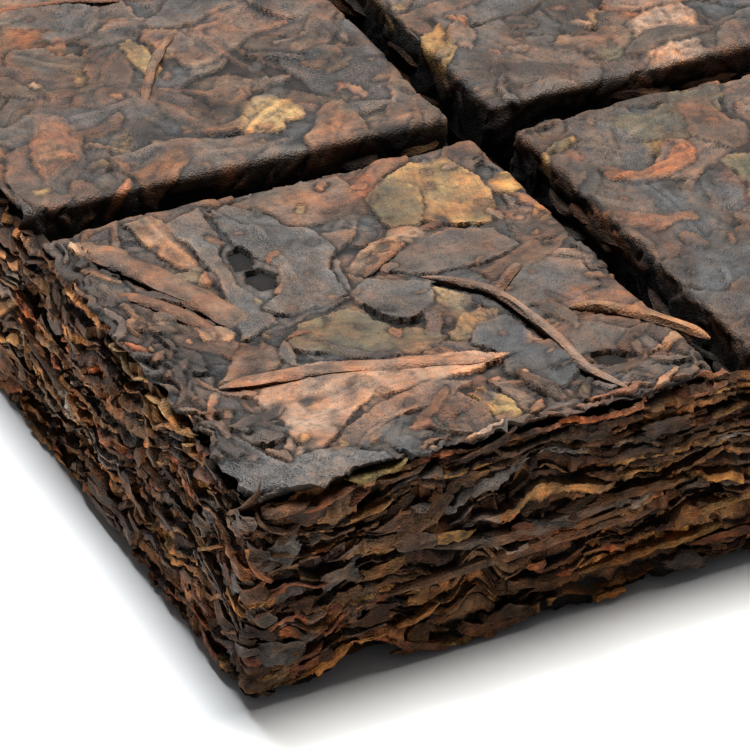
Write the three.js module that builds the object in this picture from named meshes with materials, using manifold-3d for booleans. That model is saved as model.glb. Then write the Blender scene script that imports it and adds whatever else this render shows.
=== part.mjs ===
// A pressed brick of ripe pu erh tea: whole leaves and stems pressed hard into a slab that is
// scored into squares for breaking. It is one solid: a grooved slab of layered leaf mass with the
// leaves, shreds and stems that stand out of it fused on.
// Units are millimetres. The brick lies on its flat underside at z = 0, centred on the origin.
import * as THREE from "three";
import { mergeVertices } from "three/addons/utils/BufferGeometryUtils.js";
import Module from "manifold-3d";

// Driving dimensions of the brick.
const SQUARE = 26.2; // pitch of the scored squares
const COLUMNS = 4; // squares along X
const ROWS = 3; // squares along Y
const THICKNESS = 11.8; // from the underside to the pressed top
const LENGTH = COLUMNS * SQUARE;
const WIDTH = ROWS * SQUARE;

// The scored grooves.
const GROOVE_WIDTH = 2.5; // between the lips
const GROOVE_FLOOR = 1.2;
const GROOVE_DEPTH = 4.8;
const LIP_ROUND = 0.9; // worn strip beside each lip
const LIP_DROP = 0.3; // how far the lip itself is worn down
const END_DAM = 0.9; // wall of leaf that closes a groove where it meets the brick's side
const DAM_DROP = 0.4; // the dam stands this much under the top

// The leaf mass under the loose-edged leaves.
const SKIN = 0.45; // the top leaves stand this much over it
const SIDE_SKIN = 0.6; // the leaf edges of the sides stand this much over it
const SWELL = 0.22; // the pressed top rises and falls by this
const SWELL_SPAN = 9; // from one swell to the next
const GRID_STEPS = 3; // grid cells across the flat of a square
const LAYERS = 7; // leaf layers that show in a side wall
const LAYER_STEP = 0.5; // how far every second layer stands back
const LAYER_WAVE = 0.32; // how far a layer rises and falls
const LAYER_DRIFT = 0.18; // how far a layer wanders in and out
const LAYER_SPAN = 7.5; // from one wave of a layer to the next
const RELIEF_REACH = 4; // how far into the top and the underside the relief of a side is felt
const RIM_RAGGED = 0.25; // the top edge wanders in and out by this
const UNDERCUT = 1.4; // how far the bottom edge is crumbled away inwards
const CORNER_WEAR = 0.7; // the top is this much lower at a corner of the brick
const CORNER_BLUNT = 0.7; // and the sides stand this much further back there
const CORNER_REACH = 5;

// Leaves of the top. A range is written as its least and its greatest value.
const LEAF_THICKNESS = 0.9; // a pressed leaf with what it is bedded in
const LEAF_RISE = -0.08; // height of its middle over the leaf mass
const LEAF_SIDES = 10;
const LEAF_RAGGED = 0.16; // how uneven its outline is, as a share of its size
const LEAF_BOW = 0.1; // how far it bends in plan, as a share of its length
const LEAF_WAVE = 0.1;
const LEAVES_PER_SQUARE = 4;
const LEAF_LENGTH = [8.5, 12.5];
const LEAF_WIDTH = [4.5, 7.5];
const LEAF_FROM_MIDDLE = [4.6, 6.6]; // of the square, along X and along Y
const LEAF_LIFT = [0, 0.12];
const LEAF_ROLL = [-2, 2];

// Stems of the top.
const STEM_SIDES = 6;
const STEM_RADIUS = [0.4, 0.7];
const STEM_HALF_LENGTH = [3.5, 6.5];
const STEM_BOW = [-1.4, 1.4];
const STEM_RISE = 0.35; // height of its middle line over the leaf mass

// Leaf edges that stand out of the sides.
const STRIPS = 60;
const STRIP_DEPTH = 2.2; // how deep such a leaf edge is rooted
const STRIP_LENGTH = [6, 13];
const STRIP_THICKNESS = [0.6, 1.3];
const STRIP_LEVELS = [2.2, 6.6, 4.4, 9.4, 5.6, 8.0, 3.0]; // heights that they take in turn
const STRIP_SHIFT = [-0.7, 0.7]; // up or down from that height
const STRIP_STAND_BACK = [0, 0.35]; // from the brick's outline
const STRIP_ARCH = [-0.7, 0.7];
const STRIP_TILT = [-6, 6];
const STRIP_END = 0.35; // its thickness at an end, as a share of that in the middle
const STRIP_END_BACK = 0.3; // its ends stand this much further back
const CORNER_CLEAR = 3; // no such leaf edge comes closer to a corner of the brick

const LEAF_MASS = THICKNESS - SKIN;

const SHORT_EDGE = 0.06; // edges under this are taken out of the joined solid
const SLIVER = 0.015; // and so are triangles lower than this
const MOST_PASSES = 30;
const TOUCHING = 0.002; // points this close count as one

// A repeatable stream of numbers from 0 to 1.
function seeded(seed) {
  let state = seed >>> 0;
  return () => {
    state = (state + 0x6d2b79f5) >>> 0;
    let t = state;
    t = Math.imul(t ^ (t >>> 15), t | 1);
    t ^= t + Math.imul(t ^ (t >>> 7), t | 61);
    return ((t ^ (t >>> 14)) >>> 0) / 4294967296;
  };
}

const between = (random, [low, high]) => low + (high - low) * random();

// Smooth noise from -1 to 1 on a lattice of whole numbers.
function noise(u, v, seed) {
  const at = (i, j) => seeded(i * 7919 + j * 104729 + seed * 1299721)() * 2 - 1;
  const i = Math.floor(u);
  const j = Math.floor(v);
  const fu = THREE.MathUtils.smoothstep(u - i, 0, 1);
  const fv = THREE.MathUtils.smoothstep(v - j, 0, 1);
  const low = THREE.MathUtils.lerp(at(i, j), at(i + 1, j), fu);
  const high = THREE.MathUtils.lerp(at(i, j + 1), at(i + 1, j + 1), fu);
  return THREE.MathUtils.lerp(low, high, fv);
}

// Grid lines across a number of squares: close together at the grooves, even between them.
function gridLines(squares) {
  const half = (squares * SQUARE) / 2;
  const edge = [0, END_DAM, END_DAM + LIP_ROUND];
  const groove = [GROOVE_FLOOR / 2, GROOVE_WIDTH / 2, GROOVE_WIDTH / 2 + LIP_ROUND];
  const lines = [];
  for (let n = 0; n < squares; n += 1) {
    const first = n === 0 ? edge : groove;
    const last = n === squares - 1 ? edge : groove;
    const from = first.at(-1);
    const to = SQUARE - last.at(-1);
    const offsets = [...first];
    for (let s = 1; s < GRID_STEPS; s += 1) {
      offsets.push(THREE.MathUtils.lerp(from, to, s / GRID_STEPS));
    }
    offsets.push(...[...last].reverse().map((d) => SQUARE - d));
    lines.push(...offsets.map((d) => n * SQUARE + d - half));
  }
  return lines;
}

const xLines = gridLines(COLUMNS);
const yLines = gridLines(ROWS);

// Distance from a coordinate to the nearest groove that crosses it.
function toGroove(value, squares) {
  const along = value / SQUARE + squares / 2;
  const nearest = THREE.MathUtils.clamp(Math.round(along), 1, squares - 1);
  return Math.abs(along - nearest) * SQUARE;
}

// Depth of a groove at a distance from its centre line and from the side of the brick it runs to.
function grooveDepth(distance, toSide) {
  const wall = THREE.MathUtils.clamp(
    (GROOVE_WIDTH / 2 - distance) / (GROOVE_WIDTH / 2 - GROOVE_FLOOR / 2),
    0,
    1,
  );
  const worn = THREE.MathUtils.clamp(
    1 - (distance - GROOVE_WIDTH / 2) / LIP_ROUND,
    0,
    1,
  );
  const open = THREE.MathUtils.clamp((toSide - END_DAM) / LIP_ROUND, 0, 1);
  const dam = DAM_DROP * worn;
  return THREE.MathUtils.lerp(dam, LIP_DROP * worn + GROOVE_DEPTH * wall, open);
}

// The pressed top isn't quite flat: it swells, and it is worn down towards the brick's corners.
function swell(x, y) {
  const toCorner = Math.hypot(LENGTH / 2 - Math.abs(x), WIDTH / 2 - Math.abs(y));
  const worn = THREE.MathUtils.clamp(1 - toCorner / CORNER_REACH, 0, 1);
  return SWELL * noise(x / SWELL_SPAN, y / SWELL_SPAN, 1) - CORNER_WEAR * worn;
}

// Height of the leaf mass at a point of the top.
function topOfMass(x, y) {
  const toSideX = LENGTH / 2 - Math.abs(x);
  const toSideY = WIDTH / 2 - Math.abs(y);
  const rim = LIP_DROP * THREE.MathUtils.clamp(1 - Math.min(toSideX, toSideY) / LIP_ROUND, 0, 1);
  const cut = Math.max(
    grooveDepth(toGroove(x, COLUMNS), toSideY),
    grooveDepth(toGroove(y, ROWS), toSideX),
  );
  return LEAF_MASS + swell(x, y) - rim - cut;
}

// How far the side wall stands back from the brick's outline, at a distance along it and a layer.
function sideRelief(along, layer, side, wallLength) {
  const drift = noise(along / LAYER_SPAN, layer * 0.8, 10 + side);
  const toCorner = wallLength / 2 - Math.abs(along);
  const blunt = CORNER_BLUNT * THREE.MathUtils.clamp(1 - toCorner / CORNER_REACH, 0, 1) ** 2;
  if (layer === 0) return SIDE_SKIN + blunt + UNDERCUT * (0.75 + 0.5 * drift);
  const ledge = layer % 2 === 0 ? 0 : LAYER_STEP * (0.7 + 0.6 * drift);
  const rim = layer === LAYERS ? RIM_RAGGED * (1 + drift) : 0;
  return SIDE_SKIN + blunt + ledge + rim + LAYER_DRIFT * drift;
}

// The relief of a side dies away inside the brick.
const fade = (toSide) => THREE.MathUtils.clamp(1 - toSide / RELIEF_REACH, 0, 1);

// The slab: a box whose grid is moved onto the lines above, then pressed into layers and grooves.
function leafMass() {
  const nx = xLines.length - 1;
  const ny = yLines.length - 1;
  const geometry = new THREE.BoxGeometry(1, 1, 1, nx, ny, LAYERS);
  const position = geometry.getAttribute("position");
  for (let n = 0; n < position.count; n += 1) {
    const i = Math.round((position.getX(n) + 0.5) * nx);
    const j = Math.round((position.getY(n) + 0.5) * ny);
    const layer = Math.round((position.getZ(n) + 0.5) * LAYERS);
    const x = xLines[i];
    const y = yLines[j];
    const onX = i === 0 || i === nx;
    const onY = j === 0 || j === ny;
    let z = (layer / LAYERS) * topOfMass(x, y);
    if ((onX || onY) && layer > 0 && layer < LAYERS) {
      z += LAYER_WAVE * noise((x + y) / LAYER_SPAN, layer * 0.9, onX ? 5 : 6);
    }
    const backX = sideRelief(y, layer, Math.sign(x), WIDTH) * fade(LENGTH / 2 - Math.abs(x));
    const backY = sideRelief(x, layer, 3 * Math.sign(y), LENGTH) * fade(WIDTH / 2 - Math.abs(y));
    position.setXYZ(n, x - Math.sign(x) * backX, y - Math.sign(y) * backY, z);
  }
  return geometry;
}

// A pressed leaf: a thin slab of few sides, drawn out to a blunt point at both ends, bowed in
// plan, waved, and a little higher along its middle.
function leaf(length, width, seed) {
  const geometry = new THREE.CylinderGeometry(1, 1, LEAF_THICKNESS, LEAF_SIDES, 1);
  geometry.rotateX(Math.PI / 2);
  const position = geometry.getAttribute("position");
  const bow = between(seeded(seed), [-LEAF_BOW, LEAF_BOW]) * length;
  for (let n = 0; n < position.count; n += 1) {
    const u = position.getX(n);
    const v = position.getY(n);
    const ragged = 1 + LEAF_RAGGED * noise(u * 2.1, v * 1.7, seed);
    const x = 0.5 * length * u * (1 - 0.1 * v * v) * ragged;
    const y = 0.5 * width * v * (0.8 + 0.2 * Math.abs(v)) * ragged + bow * (u * u - 0.4);
    const wave = LEAF_WAVE * (noise(u * 1.7, v * 1.1, seed + 50) + 1 - Math.abs(v));
    position.setXYZ(n, x, y, position.getZ(n) + wave);
  }
  return geometry;
}

// A leaf edge that stands out of a side: a flat lens, arched along its length.
function edgeStrip(length, thickness, arch) {
  const geometry = new THREE.BoxGeometry(length, STRIP_DEPTH, thickness, 4, 1, 1);
  const position = geometry.getAttribute("position");
  for (let n = 0; n < position.count; n += 1) {
    const u = (2 * position.getX(n)) / length;
    const taper = STRIP_END + (1 - STRIP_END) * Math.sqrt(Math.max(0, 1 - u * u));
    const front = STRIP_DEPTH / 2 - STRIP_END_BACK * u * u;
    const reach = position.getY(n) > 0 ? front : -STRIP_DEPTH / 2;
    position.setXYZ(n, position.getX(n), reach, position.getZ(n) * taper + arch * (1 - u * u));
  }
  return geometry;
}

// A stem or rolled leaf: a round bar of few sides along a curve, half sunk into what it lies on.
function stem(points, radius) {
  const curve = new THREE.CatmullRomCurve3(points.map((p) => new THREE.Vector3(...p)));
  const section = new THREE.Shape();
  for (let s = 0; s < STEM_SIDES; s += 1) {
    const angle = ((s + 0.5) / STEM_SIDES) * 2 * Math.PI;
    const point = [radius * Math.cos(angle), radius * Math.sin(angle)];
    if (s === 0) section.moveTo(...point);
    else section.lineTo(...point);
  }
  section.closePath();
  return new THREE.ExtrudeGeometry(section, {
    steps: 2 * (points.length - 1),
    bevelEnabled: false,
    extrudePath: curve,
  });
}

// Sets a piece down: turned about its own length, tilted, turned to its heading, then moved.
function place(geometry, [x, y, z], heading, roll = 0, tilt = 0) {
  const turn = new THREE.Euler(
    THREE.MathUtils.degToRad(roll),
    THREE.MathUtils.degToRad(tilt),
    THREE.MathUtils.degToRad(heading),
    "ZYX",
  );
  const matrix = new THREE.Matrix4().makeRotationFromEuler(turn).setPosition(x, y, z);
  return geometry.applyMatrix4(matrix);
}

// Beds a leaf that was placed at height 0: each of its points follows the swell of the leaf mass.
function bed(geometry, lift) {
  const position = geometry.getAttribute("position");
  for (let n = 0; n < position.count; n += 1) {
    const x = position.getX(n);
    const y = position.getY(n);
    position.setZ(n, position.getZ(n) + LEAF_MASS + swell(x, y) + LEAF_RISE + lift);
  }
  return geometry;
}

// The leaves that lie on the square at the corner where X and Y are lowest: place, length,
// width, heading and roll in degrees, and how much higher than usual they are bedded.
const CORNER_SQUARE_LEAVES = [
  { x: -43.0, y: -20.6, length: 12.0, width: 7.2, heading: 100, roll: 3, lift: 0.1 },
  { x: -38.0, y: -26.6, length: 4.8, width: 4.4, heading: 100, roll: -5, lift: 0.2 },
  { x: -42.6, y: -28.3, length: 6.2, width: 3.4, heading: 8, roll: -3, lift: 0.0 },
  { x: -44.0, y: -33.6, length: 11.6, width: 6.6, heading: -18, roll: 3, lift: 0.15 },
  { x: -30.4, y: -35.4, length: 7.4, width: 4.6, heading: 100, roll: 2, lift: 0.1 },
  { x: -32.0, y: -18.2, length: 8.4, width: 6.2, heading: 62, roll: -2, lift: 0.05 },
  { x: -49.3, y: -35.1, length: 5.8, width: 4.0, heading: -62, roll: 3, lift: 0.1 },
  { x: -46.0, y: -37.1, length: 5.2, width: 2.2, heading: -8, roll: -4, lift: 0.15 },
  { x: -35.0, y: -35.6, length: 6.0, width: 3.6, heading: 98, roll: 4, lift: 0.0 },
  { x: -33.4, y: -23.0, length: 8.0, width: 4.2, heading: 32, roll: 4, lift: 0.05 },
  { x: -37.4, y: -17.0, length: 7.4, width: 4.4, heading: 18, roll: -3, lift: 0.05 },
];

// The stems there, as points in plan, with their radius and the height of their middle line
// over the leaf mass. A level one stays at the height of the top where it crosses a groove.
const CORNER_SQUARE_STEMS = [
  {
    points: [[-50.4, -15.2], [-48.7, -18.8], [-47.2, -22.3], [-45.9, -26.0]],
    radius: 0.75,
    rise: 0.25,
  },
  {
    points: [[-50.3, -20.4], [-48.5, -23.4], [-47.2, -26.8]],
    radius: 0.45,
    rise: 0.25,
  },
  {
    points: [[-36.2, -25.4], [-34.2, -27.4], [-33.3, -29.8], [-32.9, -33.4], [-31.9, -38.4]],
    radius: 0.4,
    rise: 0.42,
  },
  {
    points: [[-33.8, -28.4], [-32.4, -27.2], [-31.2, -26.4]],
    radius: 0.35,
    rise: 0.4,
  },
  {
    points: [[-48.2, -30.3], [-44.2, -31.2], [-40.6, -32.2], [-38.2, -33.5]],
    radius: 0.5,
    rise: 0.4,
  },
  {
    points: [[-38.7, -24.1], [-36.3, -22.6], [-34.0, -21.1]],
    radius: 0.4,
    rise: 0.45,
  },
  {
    points: [[-31.0, -30.9], [-29.4, -31.9], [-28.2, -33.2], [-27.0, -34.9], [-26.2, -36.2]],
    radius: 0.55,
    rise: 0.35,
    level: true,
  },
];

// A leaf scrap that bridges the groove beside that square.
const GROOVE_SCRAP = { x: -26.2, y: -18.4, z: 10.1, length: 5.6, width: 3.4, heading: 8, roll: 4 };

// Leaves and stems of the corner square.
function cornerSquarePieces() {
  const pieces = CORNER_SQUARE_LEAVES.map((l, n) =>
    bed(place(leaf(l.length, l.width, 200 + n), [l.x, l.y, 0], l.heading, l.roll), l.lift),
  );
  for (const s of CORNER_SQUARE_STEMS) {
    const under = (x, y) => (s.level ? LEAF_MASS : topOfMass(x, y));
    const points = s.points.map(([x, y]) => [x, y, under(x, y) + s.rise]);
    pieces.push(stem(points, s.radius));
  }
  const g = GROOVE_SCRAP;
  pieces.push(place(leaf(g.length, g.width, 260), [g.x, g.y, g.z], g.heading, g.roll));
  return pieces;
}

// Leaves and a stem on any other square: one leaf near each corner of the square, then the stem.
function squarePieces(column, row) {
  const random = seeded(1000 + column * 17 + row * 131);
  const middleX = (column + 0.5) * SQUARE - LENGTH / 2;
  const middleY = (row + 0.5) * SQUARE - WIDTH / 2;
  const pieces = [];
  for (let n = 0; n < LEAVES_PER_SQUARE; n += 1) {
    const sideX = n % 2 ? 1 : -1;
    const sideY = n > 1 ? 1 : -1;
    const x = middleX + sideX * between(random, LEAF_FROM_MIDDLE);
    const y = middleY + sideY * between(random, LEAF_FROM_MIDDLE);
    const length = between(random, LEAF_LENGTH);
    const width = between(random, LEAF_WIDTH);
    const heading = between(random, [0, 180]);
    const piece = leaf(length, width, 300 + column * 40 + row * 10 + n);
    place(piece, [x, y, 0], heading, between(random, LEAF_ROLL));
    pieces.push(bed(piece, between(random, LEAF_LIFT)));
  }
  const heading = between(random, [0, Math.PI]);
  const half = between(random, STEM_HALF_LENGTH);
  const bow = between(random, STEM_BOW);
  const points = [-1, -0.3, 0.4, 1].map((t) => {
    const along = t * half;
    const across = bow * (1 - t * t);
    const x = middleX + along * Math.cos(heading) - across * Math.sin(heading);
    const y = middleY + along * Math.sin(heading) + across * Math.cos(heading);
    return [x, y, topOfMass(x, y) + STEM_RISE];
  });
  pieces.push(stem(points, between(random, STEM_RADIUS)));
  return pieces;
}

// The four side walls in turn: their length, a point at a distance from their middle, the way out
// of the brick and the heading of a leaf edge that stands out of them.
const WALLS = [
  { size: LENGTH, at: (s) => [s, -WIDTH / 2], out: [0, -1], heading: 180 },
  { size: WIDTH, at: (s) => [LENGTH / 2, s], out: [1, 0], heading: -90 },
  { size: LENGTH, at: (s) => [-s, WIDTH / 2], out: [0, 1], heading: 0 },
  { size: WIDTH, at: (s) => [-LENGTH / 2, -s], out: [-1, 0], heading: 90 },
];

// Leaf edges round the sides, each rooted in the wall and reaching the brick's outline.
function sidePieces() {
  const random = seeded(77);
  const perimeter = 2 * (LENGTH + WIDTH);
  const pieces = [];
  for (let n = 0; n < STRIPS; n += 1) {
    let along = ((n + 0.8 * random()) / STRIPS) * perimeter;
    const length = between(random, STRIP_LENGTH);
    const thickness = between(random, STRIP_THICKNESS);
    const z = STRIP_LEVELS[n % STRIP_LEVELS.length] + between(random, STRIP_SHIFT);
    const back = STRIP_DEPTH / 2 + between(random, STRIP_STAND_BACK);
    const arch = between(random, STRIP_ARCH);
    const tilt = between(random, STRIP_TILT);
    let wall = 0;
    while (along > WALLS[wall].size) {
      along -= WALLS[wall].size;
      wall += 1;
    }
    const { size, at, out, heading } = WALLS[wall];
    const reach = size / 2 - length / 2 - CORNER_CLEAR;
    const [x, y] = at(THREE.MathUtils.clamp(along - size / 2, -reach, reach));
    const rooted = [x - out[0] * back, y - out[1] * back, z];
    pieces.push(place(edgeStrip(length, thickness, arch), rooted, heading, 0, tilt));
  }
  return pieces;
}

const wasm = await Module();
wasm.setup();

function toSolid(geometry) {
  const bare = geometry.clone();
  bare.deleteAttribute("normal");
  bare.deleteAttribute("uv");
  const merged = mergeVertices(bare, 1e-4);
  return new wasm.Manifold(
    new wasm.Mesh({
      numProp: 3,
      vertProperties: merged.getAttribute("position").array,
      triVerts: new Uint32Array(merged.index.array),
    }),
  );
}

function toGeometry(solid) {
  const mesh = solid.getMesh();
  const geometry = new THREE.BufferGeometry();
  geometry.setAttribute("position", new THREE.BufferAttribute(mesh.vertProperties, 3));
  geometry.setIndex(new THREE.BufferAttribute(mesh.triVerts, 1));
  return geometry;
}

const pieces = [...cornerSquarePieces(), ...sidePieces()];
for (let column = 0; column < COLUMNS; column += 1) {
  for (let row = 0; row < ROWS; row += 1) {
    if (column > 0 || row > 0) pieces.push(...squarePieces(column, row));
  }
}

// Small hollows that the joining shuts in are filled by keeping the outer body alone.
const outerBody = (solid) => solid.decompose().reduce((a, b) => (a.volume() > b.volume() ? a : b));

// The three edges of a triangle with their lengths, shortest first. Each edge is given as its
// start, its end and the corner opposite, in the order that the triangle runs.
function edgesOf(face, points) {
  return [0, 1, 2]
    .map((k) => {
      const [a, b, c] = [face[k], face[(k + 1) % 3], face[(k + 2) % 3]];
      return { a, b, c, length: points[a].distanceTo(points[b]) };
    })
    .sort((p, q) => p.length - q.length);
}

function normalOf(face, points) {
  const [a, b, c] = face.map((v) => points[v]);
  return b.clone().sub(a).cross(c.clone().sub(a));
}

// One pass over the triangles where pieces graze each other: the two ends of a short edge become
// one point, and a sliver gives up its long edge to the triangle beside it. Triangles round one
// change are left alone until the next pass. Returns how many changes it made.
function mendPass(points, faces) {
  const around = points.map(() => new Set());
  faces.forEach((face, n) => face.forEach((v) => around[v].add(n)));
  const neighbours = (v) => new Set([...around[v]].flatMap((n) => faces[n]).filter((w) => w !== v));
  const busy = new Set();
  let changes = 0;
  faces.forEach((face, n) => {
    if (face.length < 3 || face.some((v) => busy.has(v))) return;
    const [short, , long] = edgesOf(face, points);
    const area = normalOf(face, points).length();
    if (short.length < SHORT_EDGE) {
      const { a, b } = short;
      const ring = new Set([...neighbours(a), ...neighbours(b)]);
      const shared = [...neighbours(a)].filter((v) => neighbours(b).has(v));
      if (shared.length !== 2 || [...ring].some((v) => busy.has(v))) return;
      const [keptA, middle] = [points[a], points[a].clone().lerp(points[b], 0.5)];
      const moved = [...new Set([...around[a], ...around[b]])].filter(
        (m) => !(faces[m].includes(a) && faces[m].includes(b)),
      );
      const before = moved.map((m) => normalOf(faces[m], points));
      const after = moved.map((m) => faces[m].map((v) => (v === b ? a : v)));
      points[a] = middle;
      const turned = after.some((f, k) => {
        const normal = normalOf(f, points);
        return before[k].length() > SHORT_EDGE * SHORT_EDGE && normal.dot(before[k]) <= 0;
      });
      if (turned) {
        points[a] = keptA;
        return;
      }
      for (const m of around[a]) if (faces[m].includes(b)) faces[m] = [];
      moved.forEach((m, k) => (faces[m] = after[k]));
      ring.forEach((v) => busy.add(v));
      changes += 1;
    } else if (area / long.length < SLIVER) {
      const { a, b, c } = long;
      const other = [...around[a]].find((m) => m !== n && faces[m].includes(b));
      const d = faces[other].find((v) => v !== a && v !== b);
      if (neighbours(c).has(d) || busy.has(d)) return;
      faces[n] = [a, d, c];
      faces[other] = [d, b, c];
      [a, b, c, d].forEach((v) => busy.add(v));
      changes += 1;
    }
  });
  return changes;
}

// Where two parts of the surface touch in one point, each is drawn back towards its own side.
function drawApart(points, faces) {
  const sharers = new Map();
  for (const v of new Set(faces.flat())) {
    const key = points[v].toArray().map((c) => Math.round(c / TOUCHING)).join();
    sharers.set(key, [...(sharers.get(key) ?? []), v]);
  }
  for (const v of [...sharers.values()].filter((list) => list.length > 1).flat()) {
    const ring = new Set(faces.filter((face) => face.includes(v)).flat());
    const middle = new THREE.Vector3();
    for (const w of ring) middle.addScaledVector(points[w], 1 / ring.size);
    points[v] = points[v].clone().lerp(middle, 0.2);
  }
}

// Takes out the short edges and slivers that joining leaves.
function cleaned(solid) {
  const { vertProperties, triVerts } = outerBody(solid).getMesh();
  const rough = new wasm.Mesh({ numProp: 3, vertProperties, triVerts, tolerance: SHORT_EDGE });
  const mesh = new wasm.Manifold(rough).simplify(SHORT_EDGE).getMesh();
  const points = [];
  for (let v = 0; v < mesh.vertProperties.length; v += 3) {
    points.push(new THREE.Vector3().fromArray(mesh.vertProperties, v));
  }
  let faces = [];
  for (let t = 0; t < mesh.triVerts.length; t += 3) {
    faces.push([...mesh.triVerts.slice(t, t + 3)]);
  }
  for (let pass = 0; pass < MOST_PASSES; pass += 1) {
    const changes = mendPass(points, faces);
    faces = faces.filter((face) => face.length === 3);
    if (changes === 0) break;
  }
  drawApart(points, faces);
  const geometry = new THREE.BufferGeometry().setFromPoints(points);
  geometry.setIndex(faces.flat());
  return outerBody(toSolid(geometry));
}

let brick = toSolid(leafMass());
for (const piece of pieces) {
  brick = brick.add(toSolid(piece));
}

const group = new THREE.Group();
const mesh = new THREE.Mesh(
  toGeometry(cleaned(brick)),
  new THREE.MeshStandardMaterial({ color: 0x4a3930, roughness: 0.8, metalness: 0 }),
);
mesh.name = "tea_brick";
group.add(mesh);

export default group;
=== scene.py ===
import math

import bmesh
import bpy
import numpy as np
from mathutils import Matrix, Vector


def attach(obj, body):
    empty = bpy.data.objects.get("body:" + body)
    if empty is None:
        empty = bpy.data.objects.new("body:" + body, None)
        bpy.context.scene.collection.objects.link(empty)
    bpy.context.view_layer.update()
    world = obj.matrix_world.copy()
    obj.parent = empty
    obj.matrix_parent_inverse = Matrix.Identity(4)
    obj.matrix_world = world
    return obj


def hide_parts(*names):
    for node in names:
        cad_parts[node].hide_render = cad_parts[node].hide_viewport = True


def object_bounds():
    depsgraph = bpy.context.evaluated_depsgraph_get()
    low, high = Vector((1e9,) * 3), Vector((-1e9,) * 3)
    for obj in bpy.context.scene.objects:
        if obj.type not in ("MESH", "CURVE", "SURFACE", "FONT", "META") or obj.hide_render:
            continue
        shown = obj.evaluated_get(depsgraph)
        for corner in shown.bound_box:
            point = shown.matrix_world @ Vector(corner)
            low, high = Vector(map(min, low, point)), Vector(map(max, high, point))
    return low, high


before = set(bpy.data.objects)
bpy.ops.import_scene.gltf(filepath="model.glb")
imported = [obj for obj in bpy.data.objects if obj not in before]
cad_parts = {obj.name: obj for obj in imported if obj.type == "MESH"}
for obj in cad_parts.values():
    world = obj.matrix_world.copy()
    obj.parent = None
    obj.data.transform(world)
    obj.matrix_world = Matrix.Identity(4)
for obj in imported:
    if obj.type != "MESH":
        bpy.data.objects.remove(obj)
cad_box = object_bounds()

# ---- The leaf mass: the dark, hard-pressed inside of the brick, which shows at the bottom of the
# grooves and of the deepest gaps. Its near-black colour is partly painted shade, for the deep shade
# down there. It was steamed and pressed in a mould whose ridges left the grooves, so it has the
# brick's own form, a skin's depth under it.
MM = 0.001
SQUARE = 26.2 * MM
COLUMNS, ROWS = 4, 3
THICKNESS = 11.8 * MM
LENGTH, WIDTH = COLUMNS * SQUARE, ROWS * SQUARE
BOX_CLEAR = 0.02 * MM
HALF = (cad_box[1][0] - BOX_CLEAR, cad_box[1][1] - BOX_CLEAR)
HIGHEST = cad_box[1][2] - BOX_CLEAR
GROOVE_WIDTH, GROOVE_FLOOR, GROOVE_DEPTH = 2.5 * MM, 1.2 * MM, 4.8 * MM
END_DAM, DAM_DROP, DAM_SLOPE = 0.9 * MM, 0.4 * MM, 0.9 * MM
SWELL, SWELL_SPAN = 0.16 * MM, 9 * MM
CORNER_WEAR, CORNER_REACH = 0.7 * MM, 5 * MM
TOP_SKIN, SIDE_SKIN, WALL_SKIN = 0.75 * MM, 1.05 * MM, 0.5 * MM
UNDERCUT, UNDERCUT_HEIGHT = 1.2 * MM, 2.2 * MM
BITE_AT, BITE_SPAN, BITE_SHARE = 6.5 * MM, 3.2 * MM, 1.6
RELIEF_REACH = 4 * MM
CORE_STEP, CORE_LAYERS, CORE_FOOT = 1.3 * MM, 14, 0.45 * MM
CORE_BUMP, CORE_BUMP_SPAN = 0.12 * MM, 1.3 * MM
# Grid lines beside a groove, from its middle: the foot of its wall, half way up, its lip, past it.
# Those beside the rim are at the edge and at both ends of the slope of a groove's dam.
WALL_LINES = np.array([GROOVE_FLOOR / 2, 0.95 * MM, GROOVE_WIDTH / 2, 1.8 * MM]) + WALL_SKIN
RIM_LINES = np.array([0, END_DAM, END_DAM + DAM_SLOPE])


def dice(a, b, seed):
    """A repeatable number from 0 to 1 for each pair of whole numbers."""
    h = (a * 374761393 + b * 668265263 + seed * 1442695041) & 0xFFFFFFFF
    h = ((h ^ (h >> 13)) * 1274126177) & 0xFFFFFFFF
    h = ((h ^ (h >> 15)) * 1103515245) & 0xFFFFFFFF
    return (h ^ (h >> 16)) / 4294967295


def whim(u, v, seed):
    """Smooth noise from -1 to 1 over two coordinates, one whole number apart from bump to bump."""
    u, v = np.broadcast_arrays(np.asarray(u, float), np.asarray(v, float))
    i, j = np.floor(u).astype(np.int64), np.floor(v).astype(np.int64)
    fu, fv = u - i, v - j
    fu, fv = fu * fu * (3 - 2 * fu), fv * fv * (3 - 2 * fv)
    low = dice(i, j, seed) * (1 - fu) + dice(i + 1, j, seed) * fu
    high = dice(i, j + 1, seed) * (1 - fu) + dice(i + 1, j + 1, seed) * fu
    return 2 * (low * (1 - fv) + high * fv) - 1


def bumps(u, v, seed, *kinds):
    """Smooth noise added up from kinds of bump: how high each is, how long and wide in millimetres,
    and its number after the seed."""
    return sum(
        high * whim(u / (long * MM), v / (wide * MM), seed + n) for high, long, wide, n in kinds)


def pressed_plane(x, y):
    """Height of the pressed face, without its grooves: nearly flat, worn at the brick's corners."""
    to_corner = np.hypot(LENGTH / 2 - np.abs(x), WIDTH / 2 - np.abs(y))
    worn = np.clip(1 - to_corner / CORNER_REACH, 0, 1)
    return THICKNESS + SWELL * whim(x / SWELL_SPAN, y / SWELL_SPAN, 1) - CORNER_WEAR * worn


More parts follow.
